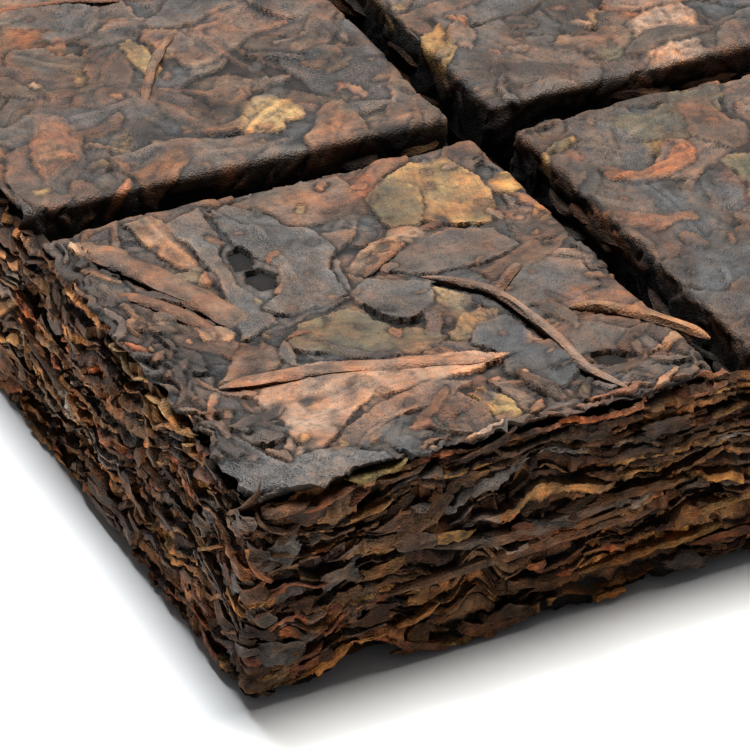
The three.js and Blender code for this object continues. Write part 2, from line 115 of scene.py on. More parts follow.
def groove_cut(x, y):
    """How deep the leaf mass is cut by the grooves, each a skin wider than it shows. A thin dam of
    leaf closes each at its ends."""
    cuts = []
    for value, squares, to_side in (
        (x, COLUMNS, WIDTH / 2 - np.abs(y)),
        (y, ROWS, LENGTH / 2 - np.abs(x)),
    ):
        along = value / SQUARE + squares / 2
        nearest = np.clip(np.round(along), 1, squares - 1)
        distance = np.abs(along - nearest) * SQUARE
        inside = GROOVE_WIDTH / 2 + WALL_SKIN - distance
        wall = np.clip(inside / ((GROOVE_WIDTH - GROOVE_FLOOR) / 2), 0, 1)
        opened = np.clip((to_side - END_DAM) / DAM_SLOPE, 0, 1)
        cuts.append(wall * (DAM_DROP + (GROOVE_DEPTH - DAM_DROP) * opened))
    return np.maximum(*cuts)


def core_lines(squares):
    """Grid lines across a number of squares, on the walls of the grooves and evenly between them."""
    lines = []
    for n in range(squares):
        first = RIM_LINES if n == 0 else WALL_LINES
        last = RIM_LINES if n == squares - 1 else WALL_LINES
        steps = round((SQUARE - first[-1] - last[-1]) / CORE_STEP)
        between = np.linspace(first[-1], SQUARE - last[-1], steps + 1)[1:-1]
        lines.append((n - squares / 2) * SQUARE + np.r_[first, between, SQUARE - last[::-1]])
    return np.concatenate(lines)


def cut_along(mesh, axis, cuts):
    """Divides every edge that runs along an axis into equal lengths, which cuts loops round a block."""
    bm = bmesh.from_edit_mesh(mesh)
    for edge in bm.edges:
        way = np.abs(np.array(edge.verts[0].co - edge.verts[1].co))
        edge.select_set(bool(way.argmax() == axis))
    bmesh.update_edit_mesh(mesh)
    bpy.ops.mesh.subdivide(number_cuts=cuts)


def coordinates(mesh):
    """The places of a mesh's points."""
    co = np.empty(len(mesh.vertices) * 3)
    mesh.vertices.foreach_get("co", co)
    return co.reshape(-1, 3)


def foot_bite(s):
    """How far the bottom edge is crumbled away, by distance round the brick from its near corner:
    most where it has broken out beside the toe that is left at that corner."""
    return np.exp(-(((s - BITE_AT) / BITE_SPAN) ** 2))


bpy.ops.object.select_all(action="DESELECT")
bpy.ops.mesh.primitive_cube_add(size=1)
leaf_mass = bpy.context.active_object
leaf_mass.name = "leaf_mass"
x_lines, y_lines = core_lines(COLUMNS), core_lines(ROWS)
counts = (len(x_lines) - 1, len(y_lines) - 1, CORE_LAYERS)
bpy.ops.object.mode_set(mode="EDIT")
bpy.ops.mesh.select_mode(type="EDGE")
for axis, count in enumerate(counts):
    cut_along(leaf_mass.data, axis, count - 1)
bpy.ops.object.mode_set(mode="OBJECT")

unit = coordinates(leaf_mass.data)
i, j, k = (np.round((unit[:, a] + 0.5) * counts[a]).astype(int) for a in range(3))
x, y = x_lines[i], y_lines[j]
top = pressed_plane(x, y) - TOP_SKIN - groove_cut(x, y)
top += CORE_BUMP * whim(x / CORE_BUMP_SPAN, y / CORE_BUMP_SPAN, 4)
z = np.maximum(k / CORE_LAYERS * top, CORE_FOOT)
to_x, to_y = LENGTH / 2 - np.abs(x), WIDTH / 2 - np.abs(y)
foot = np.clip(1 - z / UNDERCUT_HEIGHT, 0, 1)
front_bite = 1 + BITE_SHARE * foot_bite(x + LENGTH / 2) * (y < 0)
back_x = (SIDE_SKIN + UNDERCUT * foot) * np.clip(1 - to_x / RELIEF_REACH, 0, 1)
back_y = (SIDE_SKIN + UNDERCUT * foot * front_bite) * np.clip(1 - to_y / RELIEF_REACH, 0, 1)
core_co = np.stack([x - np.sign(x) * back_x, y - np.sign(y) * back_y, z], 1)
leaf_mass.data.vertices.foreach_set("co", core_co.ravel())
leaf_mass.data.update()
for polygon in leaf_mass.data.polygons:
    polygon.use_smooth = True


def new_material(name):
    """A material with its node tree and its shader."""
    material = bpy.data.materials.new(name)
    material.use_nodes = True
    tree = material.node_tree
    return material, tree, tree.nodes["Principled BSDF"]


def noise_at(tree, vector, scale, detail=4.0, roughness=0.55):
    """Mottling from 0 to 1, finer as the scale is larger."""
    node = tree.nodes.new("ShaderNodeTexNoise")
    node.inputs["Scale"].default_value = scale
    node.inputs["Detail"].default_value = detail
    node.inputs["Roughness"].default_value = roughness
    tree.links.new(vector, node.inputs["Vector"])
    return node.outputs["Fac"]


def ramp(tree, value, stops):
    """Colours at positions from 0 to 1."""
    node = tree.nodes.new("ShaderNodeValToRGB")
    elements = node.color_ramp.elements
    while len(elements) < len(stops):
        elements.new(0.5)
    for element, (position, colour) in zip(elements, stops):
        element.position = position
        element.color = (*colour, 1)
    tree.links.new(value, node.inputs["Fac"])
    return node.outputs["Color"]


def add_fine_relief(tree, shader, height, strength, depth):
    """Relief too fine for the mesh: grit, pits and fibres."""
    bump = tree.nodes.new("ShaderNodeBump")
    bump.inputs["Strength"].default_value = strength
    bump.inputs["Distance"].default_value = depth
    tree.links.new(height, bump.inputs["Height"])
    tree.links.new(bump.outputs["Normal"], shader.inputs["Normal"])


dark_leaf, tree, shader = new_material("dark_pressed_leaf")
place = tree.nodes.new("ShaderNodeTexCoord").outputs["Object"]
blotches, grains = noise_at(tree, place, 900), noise_at(tree, place, 5000)
# Dark brown leaf, painted near black as the shade at the bottom of the grooves and gaps.
core_tones_and_painted_shade = [(0.3, (0.006, 0.004, 0.003)), (0.75, (0.030, 0.019, 0.012))]
tree.links.new(ramp(tree, blotches, core_tones_and_painted_shade), shader.inputs["Base Color"])
shader.inputs["Roughness"].default_value = 0.85
shader.inputs["Specular IOR Level"].default_value = 0.1
add_fine_relief(tree, shader, grains, strength=0.6, depth=0.15 * MM)
leaf_mass.data.materials.append(dark_leaf)

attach(leaf_mass, "root")
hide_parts("tea_brick")

# ---- The pressed faces: on each square, whole and torn leaves lie bedded into each other by the
# press, each over what it covers, with a torn edge and a fine crack along it. The face is folded
# down over the lips of the grooves and the rim of the brick.

# Where a face bends down over a groove's lip or over the rim, how steeply it goes on, and its ends.
LIP_ROUND, LIP_SLOPE, WALL_RUN = 0.32 * MM, 0.12, 3.0 * MM
RIM_ROUND, RIM_SLOPE, RIM_LIP, RIM_END = 0.12 * MM, -0.02, 0.25 * MM, 0.12 * MM
RIM_RAGGED, RIM_REACH = 0.75 * MM, 1.6 * MM
CORNER_ROUND, CORNER_ROUND_REACH = 0.6 * MM, 2.2 * MM
# How deep a face's underside lies, how far it is drawn in, and how dark its underside is painted as
# shade.
FACE_DEPTH, FACE_INSET, UNDERSIDE_PAINTED_SHADE = 0.8 * MM, 0.9 * MM, 0.3
# How leaves are laid: the softness of an edge, how far one beds into those below, its bend and
# fold, its ribs, and how far each effect of its edge reaches; the gloss from which a grey sheen is
# painted on; and how dark a shadow is painted beside its edge and shade in its crack.
EDGE_SOFT, LEAF_MARGIN, BEDDING, LEAF_BEND = 0.08 * MM, 0.9 * MM, 0.4 * MM, 0.16
FOLD_HEIGHT, FOLD_SPAN = 0.05 * MM, 0.5 * MM
RIB_HALF, VEIN_PITCH, VEIN_SHARE = 0.2 * MM, 1.5 * MM, 0.16
CURL_SPAN, BLEND_SPAN, BLEND_WIDTH, CRACK_SPAN = 0.6 * MM, 0.9 * MM, 1.4 * MM, 0.09 * MM
RUB_SPAN, RUB_SHARE, SHADE_SPAN, PAINTED_SHEEN_FROM = 0.14 * MM, 0.75, 0.14 * MM, 0.45
PAINTED_SHADOW_BESIDE, PAINTED_SHADE_IN_CRACK = 0.8, 0.5
# What each leaf's number is divided by to give it a stretch of the grain of its own.
GRAIN_ALONG, GRAIN_ACROSS = 977, 883
# How the press flattens them, and how dark the shade is painted in what is low and down the grooves.
PRESSED_FLAT, PRESS_SPAN = 0.95, 5.0 * MM
HIGHEST_STEP, DEEPEST_STEP = 0.26 * MM, 0.38 * MM
SETTLE_SPAN, SETTLE_DEPTH = 0.25 * MM, 0.06 * MM
LOW_PAINTED_SHADE, HIGH_PALE = 0.8, 0.3
GROOVE_PAINTED_SHADE, GROOVE_SHADE_FADE, LIT_FROM = 0.93, 1.1 * MM, THICKNESS - 0.35 * MM
SLATE = (0.064, 0.052, 0.044)
# A grey leaf colour, tinted blue as a painted sheen of cool light.
BLUE_SLATE_PAINTED_SHEEN = (0.045, 0.045, 0.047)
CORNER_SLATE = (0.066, 0.058, 0.053)
# Near black, the painted shade inside a hole.
HOLE_PAINTED_SHADE = (0.008, 0.006, 0.005)
GREY_BROWN = (0.074, 0.050, 0.035)
BROWN = (0.074, 0.040, 0.021)
DARK_BROWN = (0.056, 0.033, 0.020)
PINK_BROWN = (0.126, 0.073, 0.044)
TERRACOTTA = (0.285, 0.176, 0.114)
TAN = (0.205, 0.125, 0.074)
OCHRE = (0.250, 0.152, 0.054)
OLIVE = (0.088, 0.068, 0.034)
RUST = (0.150, 0.064, 0.026)
UMBER = (0.032, 0.020, 0.013)
# The grey of a painted sheen.
PAINTED_SHEEN = (0.140, 0.138, 0.140)


def blank_arrays(thing):
    """Vertices, corner list and corner counts of a modelled blank, which is then taken away."""
    mesh = thing.data
    loops = np.empty(len(mesh.loops), int)
    mesh.loops.foreach_get("vertex_index", loops)
    sizes = np.empty(len(mesh.polygons), int)
    mesh.polygons.foreach_get("loop_total", sizes)
    made = (coordinates(mesh), loops, sizes)
    bpy.data.objects.remove(thing)
    return made


def leaf_blank(along, across):
    """A flat sheet to be shaped: small faces on top, one face below, closed round its edge."""
    bpy.ops.object.select_all(action="DESELECT")
    bpy.ops.mesh.primitive_grid_add(x_subdivisions=along, y_subdivisions=across, size=2)
    blank = bpy.context.active_object
    bpy.ops.object.mode_set(mode="EDIT")
    bpy.ops.mesh.select_mode(type="FACE")
    bpy.ops.mesh.select_all(action="SELECT")
    bpy.ops.mesh.extrude_region_move(TRANSFORM_OT_translate={"value": (0, 0, -1)})
    bpy.ops.mesh.dissolve_faces()
    bpy.ops.mesh.select_all(action="SELECT")
    bpy.ops.mesh.normals_make_consistent(inside=False)
    bpy.ops.object.mode_set(mode="OBJECT")
    return blank_arrays(blank)


def blurred(field, cells):
    """A running mean over a square window, taken twice, which is near enough to a soft blur."""
    for axis in (0, 1):
        for _ in range(2):
            widths = [(cells + 1, cells) if a == axis else (0, 0) for a in (0, 1)]
            total = np.cumsum(np.pad(field, widths, mode="edge"), axis=axis)
            count = field.shape[axis]
            ahead = np.take(total, np.arange(2 * cells + 1, 2 * cells + 1 + count), axis=axis)
            behind = np.take(total, np.arange(count), axis=axis)
            field = (ahead - behind) / (2 * cells + 1)
    return field


def inside_by(x, y, corners):
    """How far points lie inside a closed outline: below zero outside it."""
    nearest = np.full(x.shape, np.inf)
    odd = np.zeros(x.shape, bool)
    for (ax, ay), (bx, by) in zip(corners, np.roll(corners, -1, 0)):
        ex, ey = bx - ax, by - ay
        along = np.clip(((x - ax) * ex + (y - ay) * ey) / (ex * ex + ey * ey + 1e-18), 0, 1)
        nearest = np.minimum(nearest, np.hypot(x - ax - along * ex, y - ay - along * ey))
        crosses = (ay > y) != (by > y)
        odd ^= crosses & (x < ax + (y - ay) * ex / (ey if ey else 1))
    return np.where(odd, nearest, -nearest)


def soft(value):
    """A soft step from 0 to 1."""
    value = np.clip(value, 0, 1)
    return value * value * (3 - 2 * value)


def falling(distance, span):
    """1 as far as a line, and falling away softly past it."""
    return np.exp(-np.maximum(distance, 0) / span)


def with_gloss(colour, gloss):
    """Colours with the gloss of a leaf as their fourth value."""
    return np.concatenate([colour, np.full((*colour.shape[:-1], 1), gloss)], -1)


def leaf_directions(corners, x, y, bend):
    """Places along and across a leaf, from its middle along its bent length, and half its length."""
    middle = corners.mean(0)
    spread = np.linalg.svd(corners - middle, full_matrices=False)[2]
    along = (x - middle[0]) * spread[0, 0] + (y - middle[1]) * spread[0, 1]
    across = (x - middle[0]) * spread[1, 0] + (y - middle[1]) * spread[1, 1]
    half = np.abs((corners - middle) @ spread[0]).max()
    return along, across + bend * along**2 / half, half


def leaf_wrinkles(x, y, along, across, seed, wrinkled):
    """Height of a dried leaf's waves and of the sharp creases between them."""
    waves = bumps(along, across, seed, (0.06, 2.2, 0.9, 3), (0.02, 0.8, 0.3, 4))
    waves += bumps(x, y, seed, (0.07, 2.4, 2.4, 11), (0.008, 0.2, 0.2, 5))
    lengthwise = np.clip(1 - 5 * np.abs(bumps(along, across, seed, (1, 1.3, 0.6, 12))), 0, 1)
    netted = np.clip(1 - 4 * np.abs(bumps(x, y, seed, (1, 0.7, 0.7, 13))), 0, 1)
    return wrinkled * (waves - 0.05 * lengthwise - 0.02 * wrinkled * netted) * MM


def leaf_colour(x, y, along, across, seed, tone, gloss, edge):
    """Colour and gloss over a leaf: mottled and streaked, rubbed paler along its edge here and
    there, and with a painted grey sheen in patches where it is glossy."""
    shade = 1 + bumps(x, y, seed, (0.22, 1.7, 1.7, 7)) + bumps(along, across, seed, (0.13, 0.9, 0.22, 8))
    colour = np.array(tone) * shade[..., None]
    rubbed = np.clip(bumps(x, y, seed, (1, 2.4, 2.4, 9)), 0, 1) * edge * RUB_SHARE
    colour = colour + rubbed[..., None] * (np.array(TAN) - colour)
    # A grey sheen is painted on in patches, more the glossier the leaf.
    painted_sheen_share = bumps(x, y, seed, (1, 0.8, 0.8, 14)) + bumps(along, across, seed, (0.6, 0.5, 0.25, 15))
    painted_sheen_share = max(gloss - PAINTED_SHEEN_FROM, 0) * np.clip(painted_sheen_share, 0, 1)
    return with_gloss(colour + painted_sheen_share[..., None] * (np.array(PAINTED_SHEEN) - colour), gloss)


class Face:
    """The leaves of one face in plan: height over the press, colour with gloss, and grain."""

    def __init__(self, xs, ys):
        self.xs, self.ys = xs, ys
        self.cell = xs[1] - xs[0]
        self.x, self.y = np.meshgrid(xs, ys, indexing="ij")
        self.height = np.zeros(self.x.shape)
        self.tone = np.empty((*self.x.shape, 4))
        self.tone[:] = (*UMBER, 0.2)
        self.grain = np.zeros((*self.x.shape, 2))

    def lay(self, corners, tone, rng, thickness=0.12 * MM, rib=0.0, curl=0.0, gloss=0.5,
            ragged=0.16 * MM, crack=0.24 * MM, wrinkled=1.0, blend=1.0, stiff=1.0):
        """Presses a leaf onto the face, over all that lies there: torn round its edge, bedded into
        what is below, wrinkled, folded and curled, and blended into its neighbours in places."""
        corners = np.asarray(corners)
        low, high = corners.min(0) - LEAF_MARGIN, corners.max(0) + LEAF_MARGIN
        window = tuple(
            slice(*np.searchsorted(lines, (low[a], high[a])))
            for a, lines in enumerate((self.xs, self.ys))
        )
        x, y = self.x[window], self.y[window]
        if min(x.shape) < 3:
            return
        seed = int(rng.integers(1 << 20))
        torn = bumps(x, y, seed, (1, 1.3, 1.3, 0), (0.45, 0.42, 0.42, 1), (0.3, 0.17, 0.17, 2))
        reach = inside_by(x, y, corners) + ragged * torn
        cover = soft(reach / EDGE_SOFT + 0.5)
        bend = rng.uniform(-LEAF_BEND, LEAF_BEND)
        along, across, half = leaf_directions(corners, x, y, bend)

        under = self.height[window]
        surface = blurred(under, max(1, round(BEDDING * stiff / self.cell))) + thickness
        surface += leaf_wrinkles(x, y, along, across, seed, wrinkled)
        folded = across * math.cos(seed) + along * math.sin(seed) * 0.6
        folded = folded - rng.uniform(-0.3, 0.3) * half
        ridge = (1 - np.abs(np.clip(folded / FOLD_SPAN, -1, 1))) * soft(reach / MM) * wrinkled
        surface += rng.choice([-1, 1]) * FOLD_HEIGHT * ridge
        veins = np.cos(2 * math.pi * (along + 0.75 * np.abs(across)) / VEIN_PITCH)
        midrib = np.exp(-((across / RIB_HALF) ** 2))
        surface += rib * (midrib + VEIN_SHARE * np.clip(veins, 0, 1) ** 4)
        bearing = rng.uniform(0, 2 * math.pi)
        lifted = np.clip((along * math.cos(bearing) + across * math.sin(bearing)) / half, 0, 1)
        surface += curl * lifted * falling(reach, CURL_SPAN)
        fade = np.clip(0.35 + bumps(x, y, seed, (1.3, 3, 3, 10)), 0, 1) * blend
        surface -= thickness * fade * falling(reach, BLEND_SPAN)
        parted = np.clip(0.15 + bumps(x, y, seed, (1.1, 1.7, 1.7, 6)), 0, 1)
        gap = parted * falling(-reach, CRACK_SPAN) * (1 - cover)
        self.height[window] = (under - crack * gap) * (1 - cover) + surface * cover

        colour = leaf_colour(x, y, along, across, seed, tone, gloss, falling(reach, RUB_SPAN))
        # What lies beside the leaf's edge gets a painted shadow, and its crack painted shade.
        beside = falling(-reach, SHADE_SPAN) * (1 - cover) * (1 - fade)
        painted_edge_shade = (1 - PAINTED_SHADOW_BESIDE * beside[..., None]) * (1 - PAINTED_SHADE_IN_CRACK * gap[..., None])
        cover = soft(reach / (EDGE_SOFT + BLEND_WIDTH * fade) + 0.5 * (1 - fade))[..., None]
        self.tone[window] = self.tone[window] * painted_edge_shade * (1 - cover) + colour * cover
        grain = [along + seed % GRAIN_ALONG * MM, across + seed % GRAIN_ACROSS * MM]
        grain = np.stack(grain, -1) / MM
        self.grain[window] = np.where(cover > 0.5, grain, self.grain[window])

    def press(self):
        """Flattens the finished face as the press did, so that only its steps and cracks stay. What is
        low is painted darker as shade, and what stands up is rubbed paler."""
        near = blurred(self.height, max(1, round(SETTLE_SPAN / self.cell)))
        low = np.clip((near - self.height) / SETTLE_DEPTH, -1, 1)[..., None]
        self.tone[..., :3] *= np.where(low > 0, 1 - LOW_PAINTED_SHADE * low, 1 - HIGH_PALE * low)
        broad = blurred(self.height, round(PRESS_SPAN / self.cell / 2))
        kept = self.height - PRESSED_FLAT * broad
        most = np.where(kept > 0, HIGHEST_STEP, DEEPEST_STEP)
        self.height = most * np.tanh(kept / most)


def torn_outline(rng, x, y, length, width, heading):
    """The outline of a torn leaf: two uneven sides along a bent spine, its ends pointed or torn off."""
    t = np.linspace(-1, 1, 7)
    ends = np.interp(t, (-1, 1), rng.uniform(0.05, 0.75, 2))
    half = 0.5 * width * (ends + (1 - ends) * (1 - np.abs(t) ** rng.uniform(1.6, 4)))
    spine = rng.uniform(-0.18, 0.18) * length * (1 - t * t)
    sides = rng.uniform(0.7, 1.25, (2, 7)) * half
    u = 0.5 * length * np.r_[t + rng.uniform(-0.06, 0.06, 7), t[::-1] + rng.uniform(-0.06, 0.06, 7)]
    v = np.r_[spine + sides[0], (spine - sides[1])[::-1]]
    c, s = math.cos(heading), math.sin(heading)
    return np.stack([x + u * c - v * s, y + u * s + v * c], 1)


TONE_SPREAD, WARMTH_SPREAD = 0.22, 0.06


def shade_of(rng, tones):
    """One of a list of leaf colours, a little lighter or darker and warmer or cooler."""
    tone = np.array(tones[int(rng.integers(len(tones)))])
    warm = rng.uniform(-WARMTH_SPREAD, WARMTH_SPREAD)
    light = rng.uniform(1 - TONE_SPREAD, 1 + TONE_SPREAD)
    return tone * light * np.array([1 + warm, 1, 1 - warm])


class Bed:
    """One square of the top: where it lies, and how flat points over it fold onto the brick."""

    def __init__(self, column, row):
        self.x = (column + 0.5) * SQUARE - LENGTH / 2
        self.y = (row + 0.5) * SQUARE - WIDTH / 2
        self.grooved = (column > 0, column < COLUMNS - 1, row > 0, row < ROWS - 1)

    def ends(self, axis):
        """Where the face ends along an axis, flat: down a groove's wall, or at the brick's rim."""
        reach = [
            SQUARE / 2 - GROOVE_WIDTH / 2 + WALL_RUN if grooved else SQUARE / 2 - RIM_END
            for grooved in self.grooved[2 * axis:2 * axis + 2]
        ]
        centre = (self.x, self.y)[axis]
        return centre - reach[0], centre + reach[1]

    def ragged(self, xy):
        """Draws the outer edges of the face in and out, as far as the rim of the brick goes."""
        moved = xy.copy()
        for axis, half in enumerate((LENGTH / 2, WIDTH / 2)):
            value, other = xy[:, axis], xy[:, 1 - axis]
            bites = 0.5 + bumps(
                other, value, 15 + axis, (0.5, 1.6, 40, 0), (0.28, 0.55, 40, 2), (0.14, 0.2, 40, 4))
            near = soft(1 - (half - np.abs(value)) / RIM_REACH)
            moved[:, axis] = value - np.sign(value) * RIM_RAGGED * bites * near
        to_corner = np.hypot(LENGTH / 2 - np.abs(moved[:, 0]), WIDTH / 2 - np.abs(moved[:, 1]))
        return moved - np.sign(moved) * CORNER_ROUND * soft(1 - to_corner / CORNER_ROUND_REACH)[:, None]

    def onto_brick(self, xy, height):
        """Places points given flat, with their height over the pressed face, on the real brick: flat
        over the square, round its lips and down the walls of the grooves or over the brick's rim."""
        place = [xy[:, 0] - self.x, xy[:, 1] - self.y]
        up = height.copy()
        for axis in (0, 1):
            for way in (-1, 1):
                grooved = self.grooved[2 * axis + (way > 0)]
                lip = SQUARE / 2 - (GROOVE_WIDTH / 2 if grooved else RIM_LIP)
                radius, slope = (LIP_ROUND, LIP_SLOPE) if grooved else (RIM_ROUND, RIM_SLOPE)
                start = lip - radius
                past = place[axis] * way - start
                turn = np.clip(past / radius, 0, math.pi / 2)
                beyond = np.maximum(past - radius * math.pi / 2, 0)
                bent = past > 0
                across = start + (radius + up) * np.sin(turn) + slope * beyond
                place[axis] = np.where(bent, way * across, place[axis])
                up = np.where(bent, (radius + up) * np.cos(turn) - radius - beyond, up)
        x, y = place[0] + self.x, place[1] + self.y
        x, y = np.clip(x, -HALF[0], HALF[0]), np.clip(y, -HALF[1], HALF[1])
        return np.stack([x, y, np.minimum(pressed_plane(x, y) + up, HIGHEST)], 1)


def sheet_of(face, blank, cells, place, lit_from):
    """The copy of a blank that carries a face: its points placed, with their colour and grain. Below
    the height that it is lit from, down the grooves, it is painted darker as shade, and its underside
    is painted darker too."""
    co = blank[0]
    i = np.round((co[:, 0] + 1) / 2 * cells[0]).astype(int)
    j = np.round((co[:, 1] + 1) / 2 * cells[1]).astype(int)
    below = co[:, 2] < -0.5
    flat = np.stack([face.x[i, j], face.y[i, j]], 1)
    height = np.where(below, -FACE_DEPTH, face.height[i, j])
    middle = np.array([face.xs.mean(), face.ys.mean()])
    drawn_in = middle + (flat - middle) * (1 - 2 * FACE_INSET / np.ptp(face.xs))
    flat = np.where(below[:, None], drawn_in, flat)
    placed = place(flat, height)
    painted_groove_shade = 1 - GROOVE_PAINTED_SHADE * soft((lit_from - placed[:, 2]) / GROOVE_SHADE_FADE)
    tone = face.tone[i, j] * (painted_groove_shade * np.where(below, UNDERSIDE_PAINTED_SHADE, 1))[:, None]
    return {"co": placed, "tone": tone, "grain": face.grain[i, j]}


def join_copies(name, blank, copies, material, smooth_degrees):
    """Joins the copies of a blank into one mesh, with its colours and a map along the grain."""
    _, loops, sizes = blank
    count, points = len(copies), len(copies[0]["co"])
    mesh = bpy.data.meshes.new(name)
    co = np.concatenate([c["co"] for c in copies])
    corner = (loops[None] + np.arange(count)[:, None] * points).ravel()
    totals = np.tile(sizes, count)
    mesh.vertices.add(len(co))
    mesh.loops.add(len(corner))
    mesh.polygons.add(len(totals))
    mesh.vertices.foreach_set("co", co.ravel())
    mesh.loops.foreach_set("vertex_index", corner)
    mesh.polygons.foreach_set("loop_start", np.r_[0, np.cumsum(totals)[:-1]])
    mesh.polygons.foreach_set("loop_total", totals)
    mesh.update(calc_edges=True)
    tone = np.concatenate([np.broadcast_to(c["tone"], (points, 4)) for c in copies])
    layer = mesh.attributes.new("leaf_tone", "FLOAT_COLOR", "POINT")
    layer.data.foreach_set("color", tone.astype(np.float32).ravel())
    grain = np.concatenate([c["grain"] for c in copies])
    mesh.uv_layers.new(name="grain").data.foreach_set("uv", grain[corner].astype(np.float32).ravel())
    mesh.validate()
    piece = bpy.data.objects.new(name, mesh)
    bpy.context.scene.collection.objects.link(piece)
    mesh.materials.append(material)
    bpy.ops.object.select_all(action="DESELECT")
    piece.select_set(True)
    bpy.context.view_layer.objects.active = piece
    bpy.ops.object.shade_smooth_by_angle(angle=math.radians(smooth_degrees))
    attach(piece, "root")
    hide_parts("tea_brick")


def mixed(tree, kind, factor, first, second):
    """Two colours mixed. The factor is a number or a socket."""
    node = tree.nodes.new("ShaderNodeMix")
    node.data_type = "RGBA"
    node.blend_type = kind
    if isinstance(factor, float):
        node.inputs["Factor"].default_value = factor
    else:
        tree.links.new(factor, node.inputs["Factor"])
    for socket, value in (("A", first), ("B", second)):
        place = next(s for s in node.inputs if s.name == socket and s.type == "RGBA")
        if isinstance(value, tuple):
            place.default_value = (*value, 1)
        else:
            tree.links.new(value, place)
    return next(s for s in node.outputs if s.type == "RGBA")


def between(tree, value, low, high, out_low, out_high):
    """A value mapped from one range onto another, held at its ends."""
    node = tree.nodes.new("ShaderNodeMapRange")
    for socket, number in zip(("From Min", "From Max", "To Min", "To Max"),
                              (low, high, out_low, out_high)):
        node.inputs[socket].default_value = number
    tree.links.new(value, node.inputs["Value"])
    return node.outputs["Result"]


def added(tree, first, second):
    """The sum of two values."""
    node = tree.nodes.new("ShaderNodeMath")
    node.operation = "ADD"
    tree.links.new(first, node.inputs[0])
    tree.links.new(second, node.inputs[1])
    return node.outputs[0]


def leaf_finish(name, fleck, relief, shine, darkest, palest, fineness):
    """Dry tea leaf: each leaf's own colour, mottled, streaked along its grain and flecked with rust,
    with tiny bright specks painted on as glints, and with the fine pits and fibres of dried leaf,
    matt to faintly waxy."""
    material, tree, shader = new_material(name)
    tone = tree.nodes.new("ShaderNodeAttribute")
    tone.attribute_name = "leaf_tone"
    grain = tree.nodes.new("ShaderNodeUVMap")
    grain.uv_map = "grain"
    streak = tree.nodes.new("ShaderNodeMapping")
    streak.inputs["Scale"].default_value = (0.9, 5.0, 1.0)
    tree.links.new(grain.outputs["UV"], streak.inputs["Vector"])
    place = tree.nodes.new("ShaderNodeTexCoord").outputs["Object"]
    broad, mottle, patch, speck_and_glint = (
        noise_at(tree, place, scale * fineness, detail, roughness)
        for scale, detail, roughness in (
            (300, 5.0, 0.6), (420, 5.0, 0.65), (1300, 4.0, 0.65), (5200, 3.0, 0.6))
    )
    fibre = noise_at(tree, streak.outputs["Vector"], 1.6, 4.0, 0.6)
    warmed = mixed(tree, "MULTIPLY", 1.0, tone.outputs["Color"], (1.32, 0.93, 0.64))
    warm_share = between(tree, broad, 0.42, 0.62, 0.0, 1.0)
    colour = mixed(tree, "MIX", warm_share, tone.outputs["Color"], warmed)
    for share, shade in (
        (1.0, between(tree, mottle, 0.25, 0.75, darkest, palest)),
        (1.0, between(tree, fibre, 0.3, 0.7, 0.84, 1.16)),
        (between(tree, patch, 0.54, 0.66, 0.0, 0.6), (0.25, 0.2, 0.18)),
        (between(tree, patch, 0.45, 0.28, 0.0, fleck), (1.6, 1.05, 0.7)),
        # Tiny bright specks painted on as glints; the same specks also raise the fine relief.
        (between(tree, speck_and_glint, 0.58, 0.72, 0.0, 0.8), (2.4, 2.1, 1.8)),
    ):
        colour = mixed(tree, "MULTIPLY", share, colour, shade)
    tree.links.new(colour, shader.inputs["Base Color"])
    roughness = between(tree, tone.outputs["Alpha"], 0, 1, 0.95, 0.3)
    tree.links.new(roughness, shader.inputs["Roughness"])
    shader.inputs["Specular IOR Level"].default_value = shine
    pits = tree.nodes.new("ShaderNodeTexVoronoi")
    pits.inputs["Scale"].default_value = 8500
    tree.links.new(place, pits.inputs["Vector"])
    pitted = added(tree, between(tree, pits.outputs["Distance"], 0.0, 0.7, 0.0, 0.35), speck_and_glint)
    fibrous = added(tree, pitted, between(tree, fibre, 0.0, 1.0, 0.0, 0.18))
    add_fine_relief(tree, shader, fibrous, strength=0.9, depth=relief)
    return material


top_finish = leaf_finish(
    "pressed_leaf_face", fleck=0.7, relief=0.09 * MM, shine=0.24, darkest=0.1, palest=0.9, fineness=1.5)

